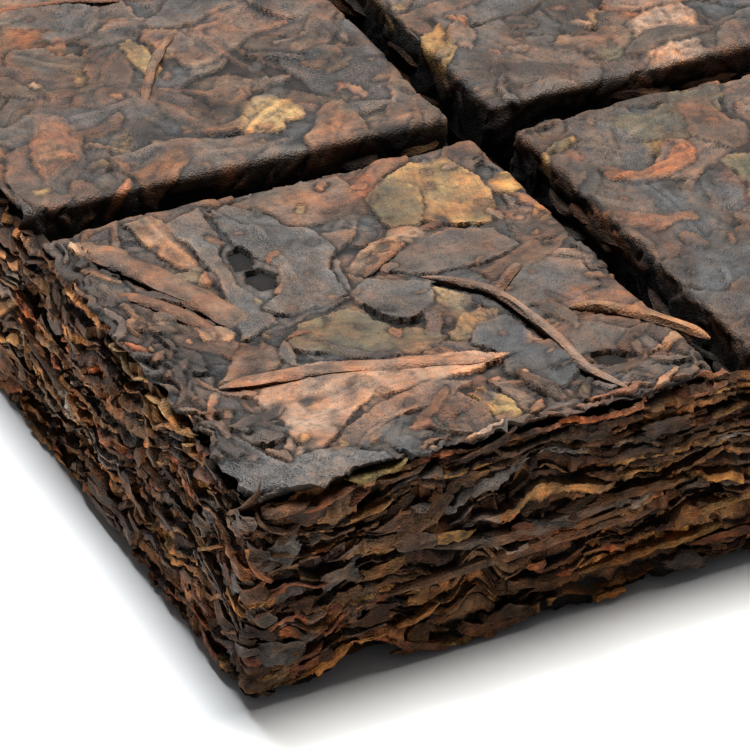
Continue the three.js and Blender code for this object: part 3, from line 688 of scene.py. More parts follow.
# The leaves of the corner square, the uppermost first: corners of the outline in plan, colour,
# rib height, edge curl and gloss. Lengths are in millimetres.
CORNER_LEAVES = [
    ([(-43.4, -28.3), (-43.1, -29.8), (-41.8, -31.1), (-40.4, -31.2), (-40.5, -30.8), (-41.7, -30.6),
      (-42.7, -29.6), (-43.1, -28.2)], UMBER, 0.0, 0.1, 0.7),
    ([(-40.0, -25.3), (-38.7, -24.5), (-36.0, -25.9), (-36.8, -27.8), (-38.6, -28.9), (-39.7, -27.7)],
     SLATE, 0.0, 0.14, 0.7),
    ([(-51.4, -32.1), (-50.8, -33.5), (-50.1, -35.3), (-49.3, -37.0), (-47.5, -36.9), (-46.2, -37.1),
      (-44.8, -38.3), (-44.7, -39.2), (-47.2, -39.3), (-49.4, -39.2), (-51.0, -39.0), (-52.0, -38.0),
      (-52.2, -36.5), (-52.1, -34.6), (-51.9, -33.0)], CORNER_SLATE, 0.0, 0.05, 0.8),
    ([(-50.5, -29.4), (-49.9, -30.2), (-49.3, -31.4), (-48.8, -33.4), (-48.4, -35.2), (-49.4, -35.3),
      (-50.3, -34.4), (-50.4, -32.3), (-50.9, -30.9)], DARK_BROWN, 0.0, 0.15, 0.7),
    ([(-44.9, -28.3), (-43.6, -26.9), (-40.8, -26.4), (-39.6, -28.0), (-38.2, -29.4), (-37.6, -30.5),
      (-38.8, -31.1), (-41.0, -31.1), (-42.6, -30.7), (-43.6, -29.6)], OLIVE, 0.0, 0.14, 0.5),
    ([(-47.2, -37.3), (-45.5, -35.6), (-43.2, -34.5), (-40.2, -34.0), (-38.2, -34.6), (-40.7, -35.7),
      (-42.7, -35.8), (-44.8, -36.7), (-46.2, -37.8)], PINK_BROWN, 0.0, 0.1, 0.7),
    ([(-49.0, -30.0), (-46.9, -30.1), (-44.6, -30.2), (-42.4, -30.9), (-40.5, -31.3), (-38.4, -31.9),
      (-37.0, -32.4), (-35.6, -33.3), (-37.4, -33.6), (-39.4, -34.1), (-41.3, -34.1), (-43.2, -34.0),
      (-45.0, -34.7), (-46.5, -36.2), (-47.5, -36.9), (-48.0, -36.4), (-48.1, -33.7), (-48.4, -31.2)],
     TERRACOTTA, 0.0, 0.0, 0.65),
    ([(-43.0, -15.2), (-41.9, -17.3), (-39.1, -18.7), (-38.8, -21.2), (-39.9, -22.9), (-40.1, -25.3),
      (-43.6, -26.2), (-44.6, -25.0), (-43.0, -23.6), (-42.2, -21.6), (-43.4, -19.4)],
     SLATE, 0.1, 0.0, 0.75),
    ([(-45.6, -15.6), (-43.6, -15.2), (-43.5, -17.6), (-44.4, -20.0), (-44.8, -22.4), (-44.2, -24.8),
      (-44.4, -26.3), (-46.6, -27.0), (-45.9, -24.2), (-45.2, -21.0)], SLATE, 0.0, 0.0, 0.7),
    ([(-44.8, -16.6), (-42.0, -15.0), (-39.0, -19.4), (-38.8, -21.1), (-39.5, -23.7), (-40.1, -25.5),
      (-42.5, -26.3), (-45.3, -26.8), (-46.0, -25.1), (-45.7, -21.2)], SLATE, 0.0, 0.0, 0.7),
    ([(-35.4, -20.4), (-35.2, -17.6), (-33.6, -16.0), (-32.4, -17.6), (-33.0, -19.6), (-34.0, -20.9)],
     OLIVE, 0.0, 0.0, 0.4),
    ([(-34.9, -20.6), (-35.0, -18.0), (-33.6, -16.2), (-31.6, -15.2), (-29.6, -15.4), (-29.0, -17.6),
      (-29.4, -20.6), (-30.4, -22.2), (-32.2, -21.6), (-33.6, -20.7)], OCHRE, 0.0, 0.0, 0.5),
    ([(-32.4, -33.1), (-31.2, -32.4), (-29.8, -33.3), (-28.7, -34.8), (-28.4, -36.0), (-29.6, -36.1),
      (-30.6, -35.2), (-32.6, -34.8)], GREY_BROWN, 0.0, 0.1, 0.6),
    ([(-32.9, -35.6), (-31.4, -36.0), (-30.3, -35.9), (-29.0, -35.9), (-28.4, -36.9), (-28.9, -38.6),
      (-30.8, -39.2), (-32.0, -38.8), (-32.8, -37.4)], SLATE, 0.0, 0.0, 0.6),
    ([(-42.0, -15.2), (-39.0, -14.6), (-35.5, -15.0), (-35.4, -17.4), (-37.4, -18.4), (-39.5, -18.3),
      (-41.4, -17.6)], PINK_BROWN, 0.0, 0.0, 0.5),
    ([(-37.6, -24.0), (-35.0, -22.2), (-32.6, -21.7), (-30.6, -22.6), (-30.4, -24.6), (-32.8, -25.5),
      (-35.4, -25.1)], GREY_BROWN, 0.0, 0.0, 0.55),
    ([(-34.2, -27.8), (-32.0, -26.5), (-29.6, -26.2), (-28.4, -27.4), (-28.5, -29.6), (-30.6, -30.3),
      (-33.2, -29.9)], SLATE, 0.0, 0.0, 0.6),
    ([(-36.8, -31.6), (-35.6, -30.2), (-34.0, -30.0), (-33.6, -31.6), (-34.4, -33.2), (-36.0, -33.4)],
     BLUE_SLATE_PAINTED_SHEEN, 0.0, 0.1, 0.6),
    ([(-36.6, -34.4), (-35.6, -33.0), (-33.6, -32.8), (-32.9, -34.2), (-33.2, -36.0), (-34.4, -36.9),
      (-36.0, -36.4)], BLUE_SLATE_PAINTED_SHEEN, 0.0, 0.0, 0.55),
    ([(-34.6, -37.4), (-33.4, -36.9), (-33.2, -38.0), (-33.9, -38.9), (-35.0, -38.8)],
     TAN, 0.0, 0.1, 0.5),
    ([(-44.6, -37.0), (-43.0, -35.8), (-41.6, -36.2), (-41.2, -37.8), (-42.0, -39.2), (-44.2, -39.2)],
     BLUE_SLATE_PAINTED_SHEEN, 0.0, 0.1, 0.5),
    ([(-41.4, -36.0), (-39.6, -35.2), (-38.8, -36.6), (-39.2, -38.4), (-40.6, -39.1), (-41.6, -38.0)],
     BROWN, 0.0, 0.1, 0.5),
    ([(-39.0, -35.4), (-38.0, -35.0), (-37.3, -36.8), (-37.6, -38.6), (-38.6, -38.4)],
     OCHRE, 0.0, 0.1, 0.5),
    ([(-37.6, -34.6), (-36.8, -34.4), (-36.3, -36.4), (-36.4, -38.4), (-37.2, -37.6)],
     PINK_BROWN, 0.0, 0.1, 0.5),
    ([(-49.9, -32.6), (-49.3, -30.8), (-48.6, -31.4), (-48.2, -33.6), (-48.0, -35.0), (-48.9, -35.5),
      (-49.7, -34.4)], UMBER, 0.1, 0.1, 0.4),
    ([(-49.3, -29.7), (-47.4, -27.8), (-45.8, -27.4), (-45.1, -28.6), (-46.4, -29.7), (-48.0, -30.2)],
     PINK_BROWN, 0.0, 0.0, 0.45),
    ([(-51.7, -23.0), (-50.2, -22.7), (-48.9, -23.9), (-49.2, -24.9), (-50.6, -24.3)],
     TERRACOTTA, 0.0, 0.1, 0.4),
    ([(-48.3, -25.0), (-47.0, -25.4), (-46.5, -26.4), (-47.4, -27.1), (-48.3, -26.2)],
     TAN, 0.0, 0.0, 0.4),
    ([(-51.3, -25.4), (-50.0, -25.2), (-49.3, -27.6), (-49.5, -28.7), (-50.6, -28.5)],
     SLATE, 0.0, 0.15, 0.5),
    ([(-51.6, -18.4), (-50.2, -18.0), (-49.6, -20.2), (-50.4, -21.6), (-51.6, -21.0)],
     SLATE, 0.0, 0.15, 0.5),
    ([(-47.6, -14.9), (-45.9, -14.8), (-45.0, -17.8), (-45.6, -20.6), (-46.8, -19.4)],
     TAN, 0.1, 0.0, 0.45),
]

# Holes between those leaves, coloured near black as painted shade, and how deep they are.
HOLES = [
    [(-43.8, -19.3), (-43.1, -19.2), (-42.9, -19.9), (-43.5, -21.2), (-44.2, -21.1)],
    [(-43.8, -21.5), (-42.9, -21.3), (-42.4, -22.2), (-43.1, -23.3), (-43.9, -23.3), (-44.2, -22.5)],
    [(-32.3, -34.8), (-31.2, -35.0), (-30.5, -35.6), (-30.9, -36.0), (-31.9, -35.8), (-32.4, -35.3)],
    [(-39.9, -26.4), (-39.7, -27.7), (-38.8, -28.6), (-38.0, -28.7), (-39.1, -29.0), (-40.1, -27.9)],
]
HOLE_DEPTH = 0.32 * MM

# Broad leaves elsewhere: middle, length and width in millimetres, heading in degrees and colour.
BROAD_LEAVES = [
    (-22.0, -27.4, 12.5, 5.0, 84, BLUE_SLATE_PAINTED_SHEEN), (-20.6, -18.0, 8.0, 4.6, 70, SLATE),
    (-17.2, -21.0, 6.6, 3.4, 16, PINK_BROWN), (-16.8, -15.8, 7.8, 4.2, 10, OLIVE),
    (-16.0, -28.0, 9.0, 5.4, 40, GREY_BROWN), (-21.0, -35.0, 8.4, 4.6, 8, BROWN),
    (-31.2, -10.2, 8.0, 4.4, 6, PINK_BROWN), (-36.0, -7.6, 4.4, 3.2, 30, OCHRE),
    (-33.2, 2.4, 11.0, 6.4, 20, PINK_BROWN), (-45.0, -3.2, 10.4, 5.2, 8, SLATE),
    (-41.2, -9.8, 9.0, 4.2, 170, GREY_BROWN), (-48.2, -8.8, 7.4, 4.0, 60, BROWN),
    (-41.6, 6.4, 9.0, 6.0, 130, GREY_BROWN), (-12.4, -9.2, 8.2, 4.0, 66, TERRACOTTA),
    (-20.8, -8.4, 9.4, 5.6, 100, GREY_BROWN), (-20.0, 1.6, 11.0, 6.4, 60, SLATE),
    (-10.4, 2.8, 9.0, 5.6, 20, PINK_BROWN),
]
TOP_TONES = (
    [SLATE] * 4 + [BLUE_SLATE_PAINTED_SHEEN] * 3 + [GREY_BROWN] * 4 + [BROWN] * 8 + [PINK_BROWN] * 5
    + [TERRACOTTA, TAN, OCHRE, OLIVE] + [RUST] * 5 + [UMBER] * 4
)
# Kinds of leaf that are strewn at random: how many a square, and the ranges of their length and
# width in millimetres.
BIG_LEAVES = (46, (7.0, 13.0), (3.5, 6.5))
SMALL_LEAVES = (85, (3.0, 8.5), (1.2, 3.2))
SHREDS = (75, (1.0, 4.0), (0.35, 1.0))
STREW_MARGIN = 2.4 * MM
# Fine shreds lie along the rims of the corner square, and crumbs everywhere but at the corner.
SHRED_TONES = [UMBER] * 4 + [BROWN] * 3 + [SLATE] * 3 + [RUST, TAN, PINK_BROWN, TERRACOTTA]
RIM_SHREDS, RIM_STRIP, FRONT_SHREDS_FROM = 110, 4.5 * MM, 9 * MM
CRUMB_TONES = [TAN, OCHRE] + [RUST] * 4 + [BROWN] * 5 + [PINK_BROWN] * 3 + [UMBER] * 6
CRUMBS_NEAREST, CRUMBS_REST = 120, 60
CLEAR_CORNER = 8 * MM - LENGTH / 2 - WIDTH / 2
# Squares whose leaves are built finest, then finely, then the rest, with the cells across each.
NEAREST, NEXT_NEAREST = {(0, 0)}, {(0, 1), (1, 0), (1, 1)}
CELLS_NEAREST, CELLS_NEXT, CELLS_REST = 308, 178, 100
# Steps that spread places evenly over a square, whatever their number.
EVEN_STEPS = np.array([0.7548776662, 0.5698402910])


def spread_places(rng, count, bed, margin):
    """Places spread evenly at random over a square, reaching past its lips by the margin."""
    start = rng.uniform(0, 1, 2)
    steps = np.arange(count)[:, None] * EVEN_STEPS
    even = (start + steps + rng.uniform(-0.05, 0.05, (count, 2))) % 1
    return np.array([bed.x, bed.y]) + (even - 0.5) * (SQUARE - GROOVE_WIDTH + 2 * margin)


def strew(face, bed, rng, kind, share):
    """Lays leaves of one kind at random over a square, each in a shade of its own."""
    count, lengths, widths = kind
    for x, y in spread_places(rng, round(count * share), bed, STREW_MARGIN):
        length, width = rng.uniform(*lengths) * MM, rng.uniform(*widths) * MM
        face.lay(
            torn_outline(rng, x, y, length, width, rng.uniform(0, math.pi)),
            shade_of(rng, TOP_TONES), rng, thickness=rng.uniform(0.05, 0.15) * MM,
            rib=rng.choice([0, 0, 0.06, 0.1]) * MM, curl=rng.choice([0, 0, 0.08, 0.16]) * MM,
            gloss=rng.uniform(0.25, 0.75), crack=rng.uniform(0.05, 0.22) * MM,
            wrinkled=rng.uniform(0.5, 1.5))


def scatter_crumbs(face, bed, rng, count):
    """Presses fine bits of broken leaf into a square, in and beside everything else."""
    for x, y in spread_places(rng, count, bed, 0):
        if x + y < CLEAR_CORNER:
            continue
        length, width = rng.uniform(0.25, 1.1) * MM, rng.uniform(0.15, 0.5) * MM
        face.lay(
            torn_outline(rng, x, y, length, width, rng.uniform(0, math.pi)),
            shade_of(rng, CRUMB_TONES), rng, thickness=rng.uniform(0.02, 0.06) * MM,
            ragged=0.12 * MM, crack=0.08 * MM, blend=0.3)


def rim_shreds(rng, count):
    """Fine shreds along the two rims of the corner square, mostly along the left one: middle,
    length, width and heading."""
    for n in range(count):
        inward = RIM_STRIP * rng.uniform(0, 1) ** 1.5
        along = rng.uniform(1, 24) * MM
        length, width = rng.uniform(0.8, 3.6) * MM, rng.uniform(0.2, 0.75) * MM
        if n % 3:
            x, y, heading = inward, along, rng.normal(1.9, 0.6)
        else:
            x, y, heading = FRONT_SHREDS_FROM + along * 0.7, inward, rng.normal(0.2, 0.6)
        yield x - LENGTH / 2, y - WIDTH / 2, length, width, heading


beds = {(c, r): Bed(c, r) for c in range(COLUMNS) for r in range(ROWS)}
sheets = {CELLS_NEAREST: [], CELLS_NEXT: [], CELLS_REST: []}
blanks = {cells: leaf_blank(cells, cells) for cells in sheets}
rng = np.random.default_rng(2)
for square, bed in beds.items():
    cells = CELLS_NEAREST if square in NEAREST else CELLS_NEXT if square in NEXT_NEAREST else CELLS_REST
    face = Face(*(np.linspace(*bed.ends(axis), cells + 1) for axis in (0, 1)))
    strew(face, bed, rng, BIG_LEAVES, 1)
    strew(face, bed, rng, SMALL_LEAVES, 0.6)
    strew(face, bed, rng, SHREDS, 0.5)
    for x, y, length, width, heading, tone in BROAD_LEAVES:
        if abs(x * MM - bed.x) < SQUARE / 2 and abs(y * MM - bed.y) < SQUARE / 2:
            outline = torn_outline(
                rng, x * MM, y * MM, length * MM, width * MM, math.radians(heading))
            face.lay(outline, tone, rng, rib=0.12 * MM, gloss=0.6)
    strew(face, bed, rng, SMALL_LEAVES, 0.4)
    strew(face, bed, rng, SHREDS, 0.5)
    if square in NEAREST:
        for corners, tone, rib, curl, gloss in reversed(CORNER_LEAVES):
            corners = np.array(corners) * MM
            # Leaves near the rim are the most wrinkled, and glossy ones keep their edges sharp.
            to_rim = (corners.mean(0) + (LENGTH / 2, WIDTH / 2)).min()
            face.lay(
                corners, tone, rng, rib=rib * MM, curl=curl * MM, gloss=gloss, stiff=2.5,
                wrinkled=float(np.clip(2.6 - to_rim / (2.5 * MM), 0.5, 2.2)),
                blend=0.2 if gloss >= 0.65 else 0.8)
        strew(face, bed, rng, SHREDS, 0.15)
        for x, y, length, width, heading in rim_shreds(rng, RIM_SHREDS):
            face.lay(
                torn_outline(rng, x, y, length, width, heading), shade_of(rng, SHRED_TONES), rng,
                thickness=rng.uniform(0.08, 0.22) * MM, gloss=rng.uniform(0.3, 0.7), blend=0.3)
    scatter_crumbs(face, bed, rng, CRUMBS_NEAREST if square in NEAREST else CRUMBS_REST)
    if square in NEAREST:
        for corners in HOLES:
            face.lay(
                np.array(corners) * MM, HOLE_PAINTED_SHADE, rng, thickness=-HOLE_DEPTH, gloss=0, crack=0,
                wrinkled=0.5, blend=0)
    face.press()
    sheets[cells].append(sheet_of(
        face, blanks[cells], (cells, cells), lambda xy, up: bed.onto_brick(bed.ragged(xy), up),
        LIT_FROM))
for name, cells in (("corner_face", CELLS_NEAREST), ("near_faces", CELLS_NEXT),
                    ("far_faces", CELLS_REST)):
    join_copies(name, blanks[cells], sheets[cells], top_finish, smooth_degrees=60)

# ---- Stems and midribs: bits of twig and leaf stalk pressed flat into the faces, ridged along
# their length, half sunk between the leaves.
PALE_STEM, HONEY_STEM = (0.190, 0.118, 0.080), (0.250, 0.140, 0.066)
FOLDED_LEAF, BROWN_STEM = (0.250, 0.140, 0.084), (0.160, 0.094, 0.058)
STEM_TONES, STEM_GLOSS = [PINK_BROWN, BROWN, TAN, GREY_BROWN, RUST], 0.45
# Those of the corner square: points in plan, half the width, how high they stand for their width,
# how far they are lifted, and colour. Lengths are in millimetres.
CORNER_STEMS = [
    ([(-50.4, -15.2), (-48.7, -18.8), (-47.2, -22.3), (-45.9, -26.0)], 0.85, 0.2, 0.1, BROWN_STEM),
    ([(-50.3, -20.4), (-48.5, -23.4), (-47.2, -26.8)], 0.42, 0.35, 0.12, RUST),
    ([(-36.2, -25.4), (-34.2, -27.4), (-33.3, -29.8), (-32.9, -33.4), (-33.0, -36.2), (-31.9, -38.4)],
     0.3, 0.7, 0.18, PALE_STEM),
    ([(-33.8, -28.4), (-32.4, -27.2), (-31.2, -26.4)], 0.3, 0.6, 0.12, BROWN_STEM),
    ([(-49.4, -30.0), (-46.9, -30.5), (-44.6, -30.8), (-41.8, -31.7), (-39.6, -32.3), (-37.6, -33.0),
      (-36.2, -33.4)], 0.46, 0.34, 0.1, FOLDED_LEAF),
    ([(-38.7, -24.1), (-36.3, -22.6), (-34.0, -21.1)], 0.26, 0.35, 0.08, RUST),
]
# This one lies level, across the lip of a groove.
LEVEL_STEM = (
    [(-31.0, -30.9), (-29.4, -31.9), (-28.2, -33.2), (-27.0, -34.9), (-26.2, -36.2)],
    0.4, 0.75, 0.2, HONEY_STEM,
)
STEMS_A_SQUARE = 2
PATH_STEPS = 60


def bar_blank(sides, segments):
    """A closed bar along X: a sheet rolled up across Y into a bar of many sides, with its seam joined
    and its ends filled."""
    bpy.ops.object.select_all(action="DESELECT")
    bpy.ops.mesh.primitive_grid_add(x_subdivisions=segments, y_subdivisions=sides, size=2)
    bar = bpy.context.active_object
    co = coordinates(bar.data)
    angle = math.pi * co[:, 1]
    rolled = np.stack([co[:, 0], np.cos(angle), np.sin(angle)], 1)
    bar.data.vertices.foreach_set("co", rolled.ravel())
    bpy.ops.object.mode_set(mode="EDIT")
    bpy.ops.mesh.select_mode(type="VERT")
    bpy.ops.mesh.select_all(action="SELECT")
    bpy.ops.mesh.remove_doubles(threshold=1e-5)
    bpy.ops.mesh.fill_holes(sides=0)
    bpy.ops.mesh.select_all(action="SELECT")
    bpy.ops.mesh.normals_make_consistent(inside=False)
    bpy.ops.object.mode_set(mode="OBJECT")
    return blank_arrays(bar)


def smooth_path(points, count):
    """A list of points as a smooth line with even steps."""
    points = np.array(points, float)
    run = np.r_[0, np.cumsum(np.linalg.norm(np.diff(points, axis=0), axis=1))]
    steps = np.linspace(0, run[-1], count)
    line = np.stack([np.interp(steps, run, points[:, a]) for a in range(points.shape[1])], 1)
    for _ in range(count // 3):
        line[1:-1] = (line[:-2] + 2 * line[1:-1] + line[2:]) / 4
    return line


def stem_on(where, blank, path, radius, flat, lift, tone, rng):
    """A stem of a bar blank along a path in plan: ridged, tapered, and sunk in at its ends. where()
    places flat points and heights."""
    co = blank[0]
    line = smooth_path(path, PATH_STEPS)
    way = np.gradient(line, axis=0)
    way /= np.linalg.norm(way, axis=1)[:, None]
    t, steps = (co[:, 0] + 1) / 2, np.linspace(0, 1, PATH_STEPS)
    centre = np.stack([np.interp(t, steps, line[:, a]) for a in (0, 1)], 1)
    side = np.stack([-np.interp(t, steps, way[:, 1]), np.interp(t, steps, way[:, 0])], 1)
    run = t * np.linalg.norm(np.diff(line, axis=0), axis=1).sum()
    angle = np.arctan2(co[:, 2], co[:, 1])
    to_end = np.abs(2 * t - 1)
    seed = int(rng.integers(1 << 20))
    ridged = 1 + 0.16 * whim(angle * 2.2, run / (4 * MM), seed)
    ridged += 0.2 * whim(angle * 1.1, run / (1.2 * MM), seed + 1)
    reach = radius * np.clip(1.15 - to_end**6, 0.15, 1) * ridged
    across = reach * np.cos(angle) + 0.15 * radius * whim(run / (3 * MM), 0.5, seed + 2)
    up = flat * reach * np.sin(angle) + 0.07 * MM * whim(run / (2.2 * MM), 0.5, seed + 3)
    sunk = 0.16 * MM * to_end**4
    shade = 1 + 0.3 * whim(run / (1.1 * MM), angle * 1.5, seed + 4)
    # The stem is painted darker round its underside and paler on top, as shade and light.
    colour = np.array(tone) * (shade * (0.65 + 0.35 * np.sin(angle)))[:, None]
    return {
        "co": where(centre + side * across[:, None], up + lift - sunk),
        "tone": with_gloss(colour, STEM_GLOSS),
        "grain": np.stack([run, angle * radius], 1) / MM + rng.uniform(0, 99),
    }


def bed_under(x, y):
    """The square that a place in plan lies on."""
    column = min(max(int((x + LENGTH / 2) / SQUARE), 0), COLUMNS - 1)
    row = min(max(int((y + WIDTH / 2) / SQUARE), 0), ROWS - 1)
    return beds[column, row]


def level_over(xy, up):
    """Places points level with the top, whatever lies below."""
    return np.stack([xy[:, 0], xy[:, 1], np.full(len(xy), THICKNESS) + up], 1)


stem_blank = bar_blank(sides=12, segments=60)
rng = np.random.default_rng(3)
stems = []
for stem in [*CORNER_STEMS, LEVEL_STEM]:
    path, radius, flat, lift, tone = stem
    path = np.array(path) * MM
    where = level_over if stem is LEVEL_STEM else bed_under(*path.mean(0)).onto_brick
    stems.append(stem_on(where, stem_blank, path, radius * MM, flat, lift * MM, tone, rng))
for square, bed in beds.items():
    if square in NEAREST:
        continue
    for x, y in spread_places(rng, STEMS_A_SQUARE, bed, -4 * MM):
        heading = rng.uniform(0, 2 * math.pi)
        half, bow = rng.uniform(2.5, 5) * MM, rng.uniform(-1, 1) * MM
        path = [
            (x + t * half * math.cos(heading) - bow * (1 - t * t) * math.sin(heading),
             y + t * half * math.sin(heading) + bow * (1 - t * t) * math.cos(heading))
            for t in (-1, -0.3, 0.4, 1)
        ]
        tone = shade_of(rng, STEM_TONES)
        stems.append(stem_on(
            bed.onto_brick, stem_blank, path, rng.uniform(0.2, 0.45) * MM, rng.uniform(0.3, 0.5),
            0.15 * MM, tone, rng))
join_copies("stems", stem_blank, stems, top_finish, smooth_degrees=50)

# ---- The layers of the sides: the leaves of the brick, seen on edge. The mould cut or folded them
# off at its walls, so they stand out round the sides in thin wavy bands and lenses, broken into
# pieces along their length, some close together and some with a dark gap between.
WALL_ROUND = 1.1 * MM
SIDE_LAYERS, ROWS_A_LAYER = 24, 5
# Of the rows of a layer, from the floor of its gap to the top of its face: how light each is, with
# shade painted in the gap, under the lip and at the top of the face and a highlight painted on the
# lip, and how much it is crumpled.
ROW_PAINTED_LIGHT, ROW_CRUMPLE = np.array([0.02, 0.5, 1.6, 1.0, 0.5]), np.array([0.2, 1, 1, 1, 0.8])
# The back of the layers, inside the leaf mass: how deep, how many rows, and how dark it is painted, as
# shade.
RING_DEPTH, BACK_ROWS, BACK_PAINTED_SHADE = 1.25 * MM, 4, 0.01
GAP_DEEPEST, CORNER_SPAN, SIDE_GLOSS = 1.1 * MM, 16 * MM, 0.45
# The foot of the layers, crumbled but for a toe at the near corner, and their rim, worn there.
FOOT_RAGGED, FOOT_BITE, FOOT_CLEAR, TOE_SPAN = 0.4 * MM, 1.2 * MM, 0.02 * MM, 1.6 * MM
RIM_DROP, RIM_WORN, RIM_WORN_SPAN = 0.32 * MM, 0.6 * MM, 3 * MM
SIDE_HIGHEST = THICKNESS + 0.1 * MM
# From the darkest to the palest, with how many parts of each.
SIDE_TONES = np.array(
    [(0.036, 0.018, 0.009)] * 4 + [(0.052, 0.026, 0.011)] * 5 + [(0.070, 0.048, 0.034)] * 3
    + [(0.080, 0.040, 0.016)] * 6 + [(0.082, 0.066, 0.052)] * 2 + [(0.130, 0.046, 0.018)] * 4
    + [(0.118, 0.056, 0.021)] * 5 + [(0.150, 0.074, 0.025)] * 4 + [(0.190, 0.098, 0.030)] * 2
)


def round_the_sides():
    """The outline of the brick as a line of points with the way out at each, and its length so far.
    It starts at the near corner and runs along the front, the right, the back and the left."""
    points, normals = [], []
    for n, (sx, sy) in enumerate([(-1, -1), (1, -1), (1, 1), (-1, 1), (-1, -1)]):
        middle = np.array([sx * (HALF[0] - WALL_ROUND), sy * (HALF[1] - WALL_ROUND)])
        first, last = math.radians(180 + 90 * n), math.radians(270 + 90 * n)
        if n == 0:
            first += math.pi / 4
        if n == 4:
            last -= math.pi / 4
        for angle in np.linspace(first, last, 12):
            way = np.array([math.cos(angle), math.sin(angle)])
            points.append(middle + WALL_ROUND * way)
            normals.append(way)
    points, normals = np.array(points), np.array(normals)
    run = np.r_[0, np.cumsum(np.hypot(*np.diff(points, axis=0).T))]
    return points, normals, run


wall_points, wall_normals, wall_run = round_the_sides()
AROUND = wall_run[-1]


def on_side(s, out, z):
    """A point of the sides: distance round the brick from the near corner, distance out, height."""
    s = s % AROUND
    place = [np.interp(s, wall_run, wall_points[:, a]) for a in (0, 1)]
    way = [np.interp(s, wall_run, wall_normals[:, a]) for a in (0, 1)]
    x = np.clip(place[0] + out * way[0], -HALF[0], HALF[0])
    y = np.clip(place[1] + out * way[1], -HALF[1], HALF[1])
    return np.stack([x, y, np.clip(z, 0, SIDE_HIGHEST)], 1)


def from_corner(s):
    """Distance along the sides from the near corner, either way."""
    s = s % AROUND
    return np.minimum(s, AROUND - s)


def foot_of(s):
    """Height of the lowest leaf edge round the brick: crumbled away in places, most beside the toe
    at the near corner."""
    s = s % AROUND
    ragged = FOOT_RAGGED * (1 + whim(s / (5 * MM), 0.5, 41)) + 0.15 * MM * whim(s / (0.8 * MM), 0.5, 42)
    toe = np.exp(-((from_corner(s) / TOE_SPAN) ** 2))
    return np.maximum(ragged * (1 - toe) + FOOT_BITE * foot_bite(s), FOOT_CLEAR)


def rim_of(s):
    """Height at which the layers of the sides end under the pressed faces."""
    s = s % AROUND
    worn = RIM_WORN * np.exp(-((from_corner(s) / RIM_WORN_SPAN) ** 2))
    return THICKNESS - RIM_DROP - worn + 0.12 * MM * whim(s / (1.9 * MM), 0.5, 44)


def in_layers(s, layer, span, seed):
    """Smooth noise along each layer of the sides, different from layer to layer."""
    return whim(s / span, layer * 4.3 + seed * 1.7, seed)


def pieces_along(s, layer, length, offset, wander, span, seed):
    """Which piece of its layer is met at each distance: they follow each other a length apart, with
    ends that wander."""
    place = s / length + offset * dice(layer, 0, seed) + wander * in_layers(s, layer, span, seed + 1)
    return np.floor(place).astype(np.int64)


def over_rows(s, row, *kinds):
    """Smooth noise along the rows of the layers, added up from kinds: how high it is, how long in
    millimetres, how far it changes from row to row, and its seed."""
    return sum(high * whim(s / (long * MM), row * step, seed) for high, long, step, seed in kinds)


def layer_edges(s, layer):
    """Heights at which the layers begin and end, each uneven in thickness."""
    weight = np.exp(in_layers(s, layer, 5.5 * MM, 61) + 0.8 * in_layers(s, layer, 1.7 * MM, 62))
    share = np.cumsum(weight, axis=1) / weight.sum(1, keepdims=True)
    low, high = foot_of(s), rim_of(s)
    return low + (high - low) * np.concatenate([np.zeros_like(s), share], 1)


def layer_profile(s, layer, near):
    """For each distance, layer and row: how far out it stands and how high it lies in its layer, and
    for each leaf a number that draws its colour. The leaves of a layer stand out unevenly, with
    bits broken off them."""
    length = (2.2 + 3.4 * dice(layer, 0, 65)) * MM * (1 - 0.55 * near)
    leaf = pieces_along(s, layer, length, 9, 0.5, 1.5 * MM, 66)
    bit = pieces_along(s, layer, 0.75 * MM, 7, 0.9, 0.9 * MM, 83)
    stand = -(0.03 + 0.6 * dice(leaf, layer, 69) ** 1.3) * MM
    stand += 0.13 * MM * in_layers(s, layer, 1.5 * MM, 70)
    stand -= 0.42 * MM * dice(bit, layer, 85) ** 3
    parted = 0.4 + 0.8 * in_layers(s, layer, 3.0 * MM, 63) + 0.6 * in_layers(s, layer, 0.9 * MM, 64)
    parted = np.clip(np.clip(parted, 0, 1) + 0.5 * (dice(bit, layer, 86) - 0.5), 0, 1)
    gap = -(0.25 + 0.85 * parted) * MM
    lean = (0.08 + 0.26 * in_layers(s, layer, 2.3 * MM, 72)) * MM
    share = 0.1 + 0.4 * parted
    droop = share * (0.4 * in_layers(s, layer, 0.7 * MM, 73) + 0.3 * (dice(bit, layer, 87) - 0.5))
    outs = [gap, stand - 0.05 * MM, stand, stand - 0.5 * lean, stand - lean]
    ups = [0.5 * share, 0.85 * share + droop, share + 0.12, 0.72, 0.95]
    return np.stack(outs, 2), np.stack(np.broadcast_arrays(*ups), 2), dice(leaf, layer, 68)


def layer_tones(s, layer, row, lot, near):
    """Colours of the rows: a leaf's own, in patches, with shade painted in the gap and a highlight
    painted on the lip. The lower layers have more pale leaves, and all grow paler away from the near
    corner, most on the left, where light is painted on."""
    lot = lot ** (0.75 + 0.9 * layer / SIDE_LAYERS)
    tone = SIDE_TONES[np.minimum((lot * len(SIDE_TONES)).astype(int), len(SIDE_TONES) - 1)]
    patch = 1 + over_rows(s, row, (0.35, 0.9, 0.45, 77), (0.3, 0.3, 0.8, 78))
    tone = tone[:, :, None, :] * (ROW_PAINTED_LIGHT * patch)[..., None]
    tone = tone * (1 + near[..., None] * np.array([0, 0.1, 0.35]))
    # The left side is painted lighter, as the side that light falls on.
    left = soft((s % AROUND - AROUND / 2) / (8 * MM))
    paler = (0.28 + 0.6 * left) * soft((from_corner(s) - 8 * MM) / (14 * MM))
    return tone * (1 + paler[..., None])


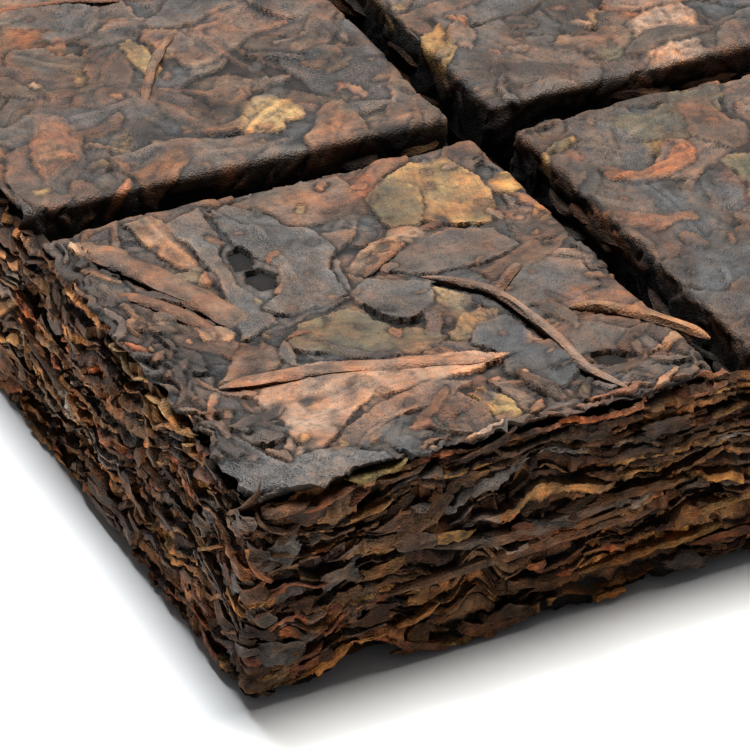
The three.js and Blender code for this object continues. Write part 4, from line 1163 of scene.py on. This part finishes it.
def layer_rows(s):
    """The layers at distances round the brick. For each distance, layer and row of a layer: height,
    distance out and colour. A layer's rows run from the floor of the gap under it, over its lip and
    up its face."""
    s, layer = s[:, None], np.arange(SIDE_LAYERS)[None]
    near = np.clip(1.25 - from_corner(s) / CORNER_SPAN, 0, 1)
    edges = layer_edges(s, layer)
    thick = np.diff(edges, axis=1)[..., None]
    out, up, lot = layer_profile(s, layer, near)
    row = (layer[..., None] * ROWS_A_LAYER + np.arange(ROWS_A_LAYER)).astype(float)
    s, near = s[..., None], near[..., None]
    height = edges[:, :-1, None] + thick * up
    crumple = over_rows(s, row, (0.08, 0.62, 0.63, 74), (0.08, 0.28, 0.9, 75), (0.045, 0.14, 1.1, 79))
    out = out + crumple * ROW_CRUMPLE * MM
    out = out + (0.12 + 0.2 * near) * MM * bumps(s, height, 80, (1, 2.1, 1.3, 0))
    tilted = (0.12 + 0.26 * near) * bumps(s, height, 81, (1, 2.6, 2.6, 0))
    tilted = tilted + 0.1 * near * bumps(s, height, 82, (1, 0.9, 1.4, 0))
    inside = soft(height / (1.6 * MM)) * soft((rim_of(s) - height) / (1.2 * MM))
    height = height + tilted * MM * inside + thick * over_rows(s, row, (0.14, 0.3, 0.9, 76))
    return height, out, layer_tones(s, layer, row, lot, near)


def ring_piece(name, columns):
    """The layers round part of the brick, from one distance to another, as one closed bar whose
    front rows are the rows of the layers."""
    many, front = len(columns), SIDE_LAYERS * ROWS_A_LAYER
    sides = front + BACK_ROWS
    blank = bar_blank(sides, many - 1)
    height, out, tone = (part.reshape(many, front, -1) for part in layer_rows(columns))
    levels = np.linspace(1, 0, BACK_ROWS + 2)[1:-1]
    rim, foot = rim_of(columns)[:, None], foot_of(columns)[:, None]
    height = np.concatenate([height[..., 0], foot + (rim - foot) * levels], 1)
    out = np.pad(
        np.clip(out[..., 0], -GAP_DEEPEST, 0), ((0, 0), (0, BACK_ROWS)), constant_values=-RING_DEPTH)
    tone = np.pad(tone, ((0, 0), (0, BACK_ROWS), (0, 0)), constant_values=BACK_PAINTED_SHADE)
    co = blank[0]
    c = np.round((co[:, 0] + 1) / 2 * (many - 1)).astype(int)
    k = np.round(np.arctan2(co[:, 2], co[:, 1]) / (2 * math.pi) * sides).astype(int) % sides
    copy = {
        "co": on_side(columns[c], out[c, k], height[c, k]),
        "tone": with_gloss(tone[c, k], SIDE_GLOSS),
        "grain": np.stack([columns[c], height[c, k] * 1.6], 1) / MM,
    }
    join_copies(name, blank, [copy], side_finish, smooth_degrees=45)


side_finish = leaf_finish(
    "leaf_edge_face", fleck=0.5, relief=0.2 * MM, shine=0.15, darkest=0.05, palest=1.9, fineness=2)
# The parts of the ring, which overlap a little. Those round the near corner are built finer.
for name, start, end, columns in (
    ("side_layers_corner", -27 * MM, 14 * MM, 770),
    ("side_layers_front", 13.6 * MM, 40 * MM, 500),
    ("side_layers_rest", 39.5 * MM, AROUND - 26.5 * MM, 770),
):
    ring_piece(name, np.linspace(start, end, columns))

# ---- The loose edges of the sides: leaves that stand out of the layers or lie across them, folded
# leaf edges as bars and torn bits of leaf as chips, all rooted in the layers.
EDGES, CHIPS, CORNER_CHIPS = 80, 70, 50


def leaf_edge(blank, rng, where, s, z, length, height, out, root, tilt, lean, tone, gloss, crumple):
    """One leaf edge: a bar of the blank, tapered to its ends, which dive back into the mass, tilted,
    bowed, crumpled and rooted well inside."""
    co = blank[0]
    a, front, up = co[:, 0], co[:, 1], co[:, 2]
    seed = int(rng.integers(1 << 20))
    run = s + a * length / 2
    bow = rng.uniform(-0.3, 0.3) * MM * a**2 * length / (5 * MM)
    taper = 0.1 + 0.9 * np.clip(1 - np.abs(a) ** 2.6, 0, 1) ** 0.6
    half = 0.5 * height * taper * (1 + 0.4 * whim(run / (0.8 * MM), 0.5, seed))
    reach = out - 0.55 * MM * np.abs(a) ** 4 + 0.14 * MM * whim(run / (1.1 * MM), 0.5, seed + 1)
    depth = np.where(front > 0, 0.42 * height * front, root * front)
    outward = reach + depth + lean * up * half / (0.5 * height)
    outward += crumple * whim(run / (0.5 * MM), up * 1.4 + z / MM, seed + 2)
    rise = z + math.sin(tilt) * a * length / 2 + bow + up * half
    rise += 0.8 * crumple * whim(run / (0.45 * MM), front * 1.7, seed + 3)
    turn = np.arctan2(up, front) / math.pi
    # The edge is painted paler the more it faces out, as painted light on its lip.
    shade = 1 + 0.35 * whim(run / (0.7 * MM), turn * 3, seed + 4) + 0.25 * np.clip(front, 0, 1)
    return {
        "co": where(run, outward, rise),
        "tone": with_gloss(np.array(tone) * shade[:, None], gloss),
        "grain": np.stack([run / MM + rng.uniform(0, 999), turn * height / MM + z / MM], 1),
    }


def chip(blank, rng, s, z, length, height, out, tilt, lean, curl, thickness, tone, gloss):
    """A torn bit of leaf on a side: flat to it or leaning out, curled along one edge."""
    co = blank[0]
    a, b = co[:, 0], co[:, 1]
    seed = int(rng.integers(1 << 20))
    reach = np.maximum(np.abs(a), np.abs(b))
    width = 0.85 + 0.45 * whim(a * 1.4, 0.5, seed) + 0.25 * whim(a * 4.1, 0.5, seed + 1)
    torn = 0.85 + 0.3 * whim(b * 1.6, 0.5, seed + 2) + 0.2 * whim(b * 4.3, 0.5, seed + 3)
    bend = 0.5 * whim(a * 1.2, 0.5, seed + 4)
    a, b = a * torn, b * width * (1 - 0.45 * a**4) + bend
    u = a * length / 2 * math.cos(tilt) - b * height / 2 * math.sin(tilt)
    v = a * length / 2 * math.sin(tilt) + b * height / 2 * math.cos(tilt)
    below = co[:, 2] < -0.5
    warp = bumps(u, v, seed, (0.13, 0.8, 0.45, 5), (0.07, 0.3, 0.22, 6)) * MM
    outward = out + lean * b + curl * np.clip(b, 0, 1.2) ** 2 - 0.25 * MM * np.abs(a) ** 3 + warp
    outward = outward - np.where(below, thickness, 0) - 0.05 * MM * reach**6
    shade = 0.8 + bumps(u, v, seed, (0.4, 0.5, 0.25, 7)) + 0.35 * (reach > 0.9)
    # A chip's underside is painted darker, as shade.
    shade = shade * (1 + bumps(u, v, seed, (0.3, 0.2, 0.13, 8))) * np.where(below, UNDERSIDE_PAINTED_SHADE, 1)
    return {
        "co": on_side(s + u, outward, z + v),
        "tone": with_gloss(np.array(tone) * shade[:, None], gloss),
        "grain": np.stack([u, v], 1) / MM + rng.uniform(0, 999),
    }


def spots_round(count, start, reach):
    """Places spread evenly over the sides, closest near the corner: distance round, and height."""
    for n in range(count):
        share = ((n * EVEN_STEPS[0] + start) % 1) * 2 - 1
        s = (0.35 * share + 0.65 * share**3) * reach
        low, high = float(foot_of(s)) + 0.25 * MM, float(rim_of(s)) - 0.1 * MM
        yield s, low + (high - low) * ((n * EVEN_STEPS[1] + start * 3) % 1)


def fineness(s):
    """From 0 to 1, how much smaller the loose bits are, near the corner."""
    return float(np.clip(1.2 - from_corner(s) / (14 * MM), 0, 1))


def side_tone(rng, darkest, palest):
    """One of the colours of the sides, made darker or paler."""
    return SIDE_TONES[int(rng.integers(len(SIDE_TONES)))] * rng.uniform(darkest, palest)


edge_blank = bar_blank(sides=8, segments=22)
chip_blank = leaf_blank(along=16, across=7)
rng = np.random.default_rng(5)
edges, chips = [], []
for s, z in spots_round(EDGES, 0.13, AROUND / 2):
    fine, tone = fineness(s), side_tone(rng, 0.75, 1.35)
    edges.append(leaf_edge(
        edge_blank, rng, on_side, s, z, rng.uniform(2.5, 9) * MM * (1 - 0.6 * fine),
        rng.uniform(0.22, 0.7) * MM * (1 - 0.35 * fine), out=-rng.uniform(0.15, 0.55) * MM,
        root=1.0 * MM, tilt=rng.normal(0, 0.10 + 0.12 * fine), lean=rng.uniform(-0.3, 0.2) * MM,
        tone=tone, gloss=rng.uniform(0.2, 0.65), crumple=rng.uniform(0.06, 0.14) * MM,
    ))
for count, start, reach in ((CHIPS, 0.57, AROUND / 2), (CORNER_CHIPS, 0.21, CORNER_SPAN)):
    for s, z in spots_round(count, start, reach):
        fine, tone = fineness(s), side_tone(rng, 0.6, 1.3)
        chips.append(chip(
            chip_blank, rng, s, z, rng.uniform(1.2, 5.0) * MM * (1 - 0.5 * fine),
            rng.uniform(0.35, 1.3) * MM, out=-rng.uniform(-0.05, 0.3) * MM,
            tilt=rng.normal(0, 0.13 + 0.3 * fine), lean=rng.uniform(-0.3, 0.2) * MM,
            curl=rng.uniform(-0.25, 0.3) * MM, thickness=rng.uniform(0.07, 0.16) * MM, tone=tone,
            gloss=rng.uniform(0.3, 0.75),
        ))
# What lies beside the near corner, flakes and then rods: distance round from the corner, height,
# length and width in millimetres, tilt in degrees, how far back in millimetres, and colour.
GREY_EDGE, RED_EDGE = (0.075, 0.062, 0.052), (0.110, 0.048, 0.024)
STRAW = (0.190, 0.135, 0.070)
GOLD_EDGE, GREEN_EDGE = (0.165, 0.084, 0.028), (0.105, 0.084, 0.032)
CORNER_FLAKES = [
    (12.2, 0.9, 2.2, 0.9, -20, 0.0, RED_EDGE), (13.8, 1.05, 3.6, 1.3, 4, 0.0, BROWN),
    (1.7, 8.7, 2.3, 1.5, 12, 0.1, GREY_EDGE), (1.6, 2.9, 3.2, 1.3, -14, 0.0, GREY_EDGE),
    (4.6, 6.3, 2.6, 1.5, 18, 0.1, GREY_EDGE), (7.2, 8.4, 2.4, 0.9, 24, 0.1, BROWN),
    (5.8, 4.2, 2.8, 0.9, 30, 0.1, BROWN), (-1.8, 6.6, 2.4, 1.5, 40, 0.1, GREY_EDGE),
    (-2.6, 3.6, 2.8, 1.1, -22, 0.1, BROWN), (-4.2, 8.6, 2.4, 1.2, 34, 0.1, GREY_EDGE),
    (3.2, 10.2, 2.6, 1.1, -12, 0.15, UMBER), (8.8, 6.9, 3.0, 1.1, -8, 0.1, GREY_BROWN),
    (0.2, 1.6, 2.2, 1.0, -30, -0.05, BROWN), (-0.3, 3.2, 1.8, 0.9, 20, -0.05, GREY_EDGE),
    (0.4, 4.4, 2.0, 0.8, -15, -0.05, UMBER), (0.0, 6.5, 2.0, 1.0, 25, -0.05, BROWN),
    (0.3, 8.9, 1.8, 0.8, -35, -0.05, UMBER), (-0.4, 10.3, 1.6, 0.8, 15, -0.05, GREY_EDGE),
    (0.6, 5.2, 1.8, 1.1, -50, 0.0, GREY_EDGE), (-0.9, 9.9, 1.9, 1.1, 55, 0.0, BROWN),
    (2.8, 1.7, 2.2, 0.8, 8, 0.0, RED_EDGE), (18.2, 10.6, 2.2, 1.3, 0, 0.3, UMBER),
]
for s, z, length, width, tilt, back, tone in CORNER_FLAKES:
    chips.append(chip(
        chip_blank, rng, s * MM, z * MM, length * MM, width * MM, out=-back * MM,
        tilt=math.radians(tilt), lean=rng.uniform(-0.3, 0.1) * MM, curl=0.2 * MM,
        thickness=0.13 * MM, tone=tone, gloss=0.5,
    ))
CORNER_RODS = [
    (-15.0, 11.3, 1.6, 0.08, 14, -0.1, STRAW), (-13.8, 11.1, 2.0, 0.07, -22, -0.1, STRAW),
    (-12.0, 11.3, 1.4, 0.08, 30, -0.1, STRAW), (-10.6, 11.0, 1.8, 0.07, 8, -0.1, STRAW),
    (-9.2, 11.1, 1.5, 0.08, -16, -0.1, STRAW), (-6.6, 10.9, 1.4, 0.12, 24, -0.15, GOLD_EDGE),
    (-7.8, 11.2, 1.6, 0.16, -10, -0.15, GOLD_EDGE),
    (6.6, 11.35, 3.4, 0.16, 5, -0.1, GREEN_EDGE), (1.9, 10.75, 2.6, 0.3, 4, -0.1, BROWN),
    (3.9, 10.7, 3.4, 0.28, 14, -0.12, RED_EDGE), (7.8, 11.0, 3.0, 0.26, 6, -0.1, BROWN),
    (9.1, 0.8, 3.6, 0.5, -22, -0.2, RED_EDGE), (0.4, 7.7, 1.9, 0.62, -62, 0.0, RED_EDGE),
    (15.4, 5.75, 12.0, 0.8, 1, 0.12, GREY_BROWN),
    (14.2, 4.7, 16.0, 0.7, 2, 0.12, BROWN), (2.4, 2.1, 3.4, 0.4, 6, 0.0, RED_EDGE),
    (-3.0, 4.6, 3.6, 0.3, 58, 0.0, GOLD_EDGE), (-2.2, 3.0, 2.4, 0.26, 42, 0.0, GOLD_EDGE),
    (-4.4, 6.4, 3.0, 0.3, 48, 0.0, GOLD_EDGE), (6.0, 9.4, 3.2, 0.34, 14, 0.0, GOLD_EDGE),
    (1.2, 9.9, 2.4, 0.34, -36, 0.0, BROWN), (-1.2, 10.6, 2.8, 0.36, 64, 0.0, BROWN),
    (22.0, 2.4, 10.0, 0.5, 4, 0.2, GOLD_EDGE), (26.0, 4.0, 8.0, 0.5, 5, 0.2, GOLD_EDGE),
    (8.0, 2.3, 5.0, 0.4, 12, 0.05, GOLD_EDGE), (1.4, 1.7, 3.0, 0.4, 14, 0.0, GOLD_EDGE),
    (3.0, 1.2, 2.4, 0.3, 24, 0.0, GOLD_EDGE), (24.2, 11.0, 3.4, 0.5, 0, 0.3, RED_EDGE),
]
for s, z, length, width, tilt, back, tone in CORNER_RODS:
    edges.append(leaf_edge(
        edge_blank, rng, on_side, s * MM, z * MM, length * MM, width * MM, out=-(0.2 + back) * MM,
        root=0.8 * MM, tilt=math.radians(tilt), lean=0, tone=tone, gloss=0.4, crumple=0.07 * MM,
    ))
join_copies("side_leaf_edges", edge_blank, edges, side_finish, smooth_degrees=40)
join_copies("side_chips", chip_blank, chips, side_finish, smooth_degrees=40)

# ---- The walls of the grooves: leaf edges that the ridges of the mould pressed back, painted dark
# # as the shade down the grooves, block by block.
WALL_STRIPS = 16
WALL_MARGIN = 0.2 * MM
# How far below the top the strips begin, over what height they are spread, and by what step.
STRIP_TOP, STRIP_SPAN, STRIP_STEP = 1.2 * MM, 3.4 * MM, 0.618


def on_groove_wall(bed, axis, way):
    """The wall of a square towards one of its grooves, as a function of run, distance out, height."""

    def where(s, out, z):
        sunk = np.clip((THICKNESS - z) / GROOVE_DEPTH, 0, 1)
        half = SQUARE / 2 - GROOVE_WIDTH / 2 + (GROOVE_WIDTH - GROOVE_FLOOR) / 2 * sunk
        across = way * (half + out)
        x = bed.x + (across if axis == 0 else s)
        y = bed.y + (s if axis == 0 else across)
        return np.stack([x, y, z], 1)

    return where


groove_blank = bar_blank(sides=6, segments=10)
rng = np.random.default_rng(8)
walls = []
for bed in beds.values():
    for axis in (0, 1):
        for way in (-1, 1):
            if not bed.grooved[2 * axis + (way > 0)]:
                continue
            reach = SQUARE / 2 - GROOVE_WIDTH / 2 - WALL_MARGIN
            for n in range(WALL_STRIPS):
                length = rng.uniform(2, 7) * MM
                s = rng.uniform(-1, 1) * (reach - length / 2)
                z = THICKNESS - STRIP_TOP - STRIP_SPAN * ((n * STRIP_STEP + rng.uniform(0, 0.1)) % 1)
                # Strips painted a tenth to a third as light as the sides, for the shade in the grooves.
                tone = side_tone(rng, 0.1, 0.3)
                walls.append(leaf_edge(
                    groove_blank, rng, on_groove_wall(bed, axis, way), s, z, length,
                    rng.uniform(0.3, 0.8) * MM, out=rng.uniform(-0.15, 0.2) * MM, root=0.6 * MM,
                    tilt=rng.normal(0, 0.08), lean=rng.uniform(-0.1, 0.1) * MM, tone=tone,
                    gloss=rng.uniform(0.1, 0.5), crumple=0.08 * MM,
                ))
join_copies("groove_walls", groove_blank, walls, side_finish, smooth_degrees=40)

# ---- The underside: the flat face that the bottom of the mould pressed, leaf over leaf like the top
# but without grooves. It ends where the sides are drawn in at their foot.
UNDER_CELLS = (250, 190)
UNDER_MARGIN, UNDER_CLEAR, UNDER_BITE = 1.6 * MM, 0.22 * MM, 0.6 * MM
UNDER_REACH = (LENGTH / 2 - UNDER_MARGIN, WIDTH / 2 - UNDER_MARGIN)
under_blank = leaf_blank(*UNDER_CELLS)
underside = Face(*(
    np.linspace(-reach, reach, cells + 1) for reach, cells in zip(UNDER_REACH, UNDER_CELLS)))
rng = np.random.default_rng(11)
for kind in (BIG_LEAVES, SMALL_LEAVES):
    for bed in beds.values():
        strew(underside, bed, rng, kind, 0.8)
underside.press()


def face_down(xy, up):
    """Places a face the other way up: what stood up from it now hangs down, as far as the floor.
    Its edge is drawn in unevenly."""
    bites = 0.5 + bumps(xy[:, :1], xy[:, 1:], 91, (0.5, 1.6, 1.6, 0))
    at_edge = np.abs(xy) > np.array(UNDER_REACH) - MM
    drawn = 1 - UNDER_BITE * bites * at_edge / np.maximum(np.abs(xy), MM)
    moved = xy * np.clip(drawn, 0.9, 1)
    return np.stack([-moved[:, 0], moved[:, 1], np.maximum(UNDER_CLEAR - up, 0)], 1)


under_sheet = sheet_of(underside, under_blank, UNDER_CELLS, face_down, 0)
join_copies("underside", under_blank, [under_sheet], top_finish, smooth_degrees=60)

# ---- The studio: a white table under large soft lamps, the widest behind the brick, so that the
# top shines a little and the two near sides stand in shade.
bpy.ops.mesh.primitive_plane_add(size=6)
table = bpy.context.active_object
table.name = "table"
white, tree, shader = new_material("white_table")
shader.inputs["Base Color"].default_value = (0.90, 0.905, 0.91, 1)
shader.inputs["Roughness"].default_value = 0.9
shader.inputs["Specular IOR Level"].default_value = 0.1
table.data.materials.append(white)

world = bpy.data.worlds.new("soft_room")
world.use_nodes = True
world.node_tree.nodes["Background"].inputs["Color"].default_value = (0.97, 0.98, 1.0, 1)
world.node_tree.nodes["Background"].inputs["Strength"].default_value = 0.1
bpy.context.scene.world = world


def soft_lamp(name, place, aim, size, power, colour):
    """A square soft lamp at a place, turned towards its aim."""
    light = bpy.data.lights.new(name, "AREA")
    light.size = size
    light.energy = power
    light.color = colour
    lamp = bpy.data.objects.new(name, light)
    lamp.location = place
    lamp.rotation_mode = "QUATERNION"
    lamp.rotation_quaternion = (Vector(aim) - Vector(place)).to_track_quat("-Z", "Y")
    bpy.context.scene.collection.objects.link(lamp)


MIDDLE = (-0.03, -0.02, 0)
soft_lamp("back_lamp", (0.06, 0.35, 0.69), MIDDLE, 0.34, 15.5, (0.95, 0.98, 1.0))
soft_lamp("top_lamp", (0.24, 0.12, 0.74), MIDDLE, 0.36, 10.5, (1.0, 0.98, 0.94))

# The eye: where it stands, and which ways are right, up and forward for it.
EYE = (-0.1166, -0.1712, 0.1158)
EYE_RIGHT = (0.888959, -0.457355, 0.024042)
EYE_UP = (0.234094, 0.498872, 0.834462)
EYE_FORWARD = (0.393639, 0.736174, -0.550541)
camera_data = bpy.data.cameras.new("eye")
camera_data.sensor_width = 36
camera_data.lens = 192
camera_data.clip_start = 0.01
camera = bpy.data.objects.new("eye", camera_data)
columns = np.array([EYE_RIGHT, EYE_UP, [-v for v in EYE_FORWARD], EYE]).T
camera.matrix_world = Matrix([[*row] for row in columns] + [[0, 0, 0, 1]])
bpy.context.scene.collection.objects.link(camera)
bpy.context.scene.camera = camera
bpy.context.scene.view_settings.view_transform = "Standard"
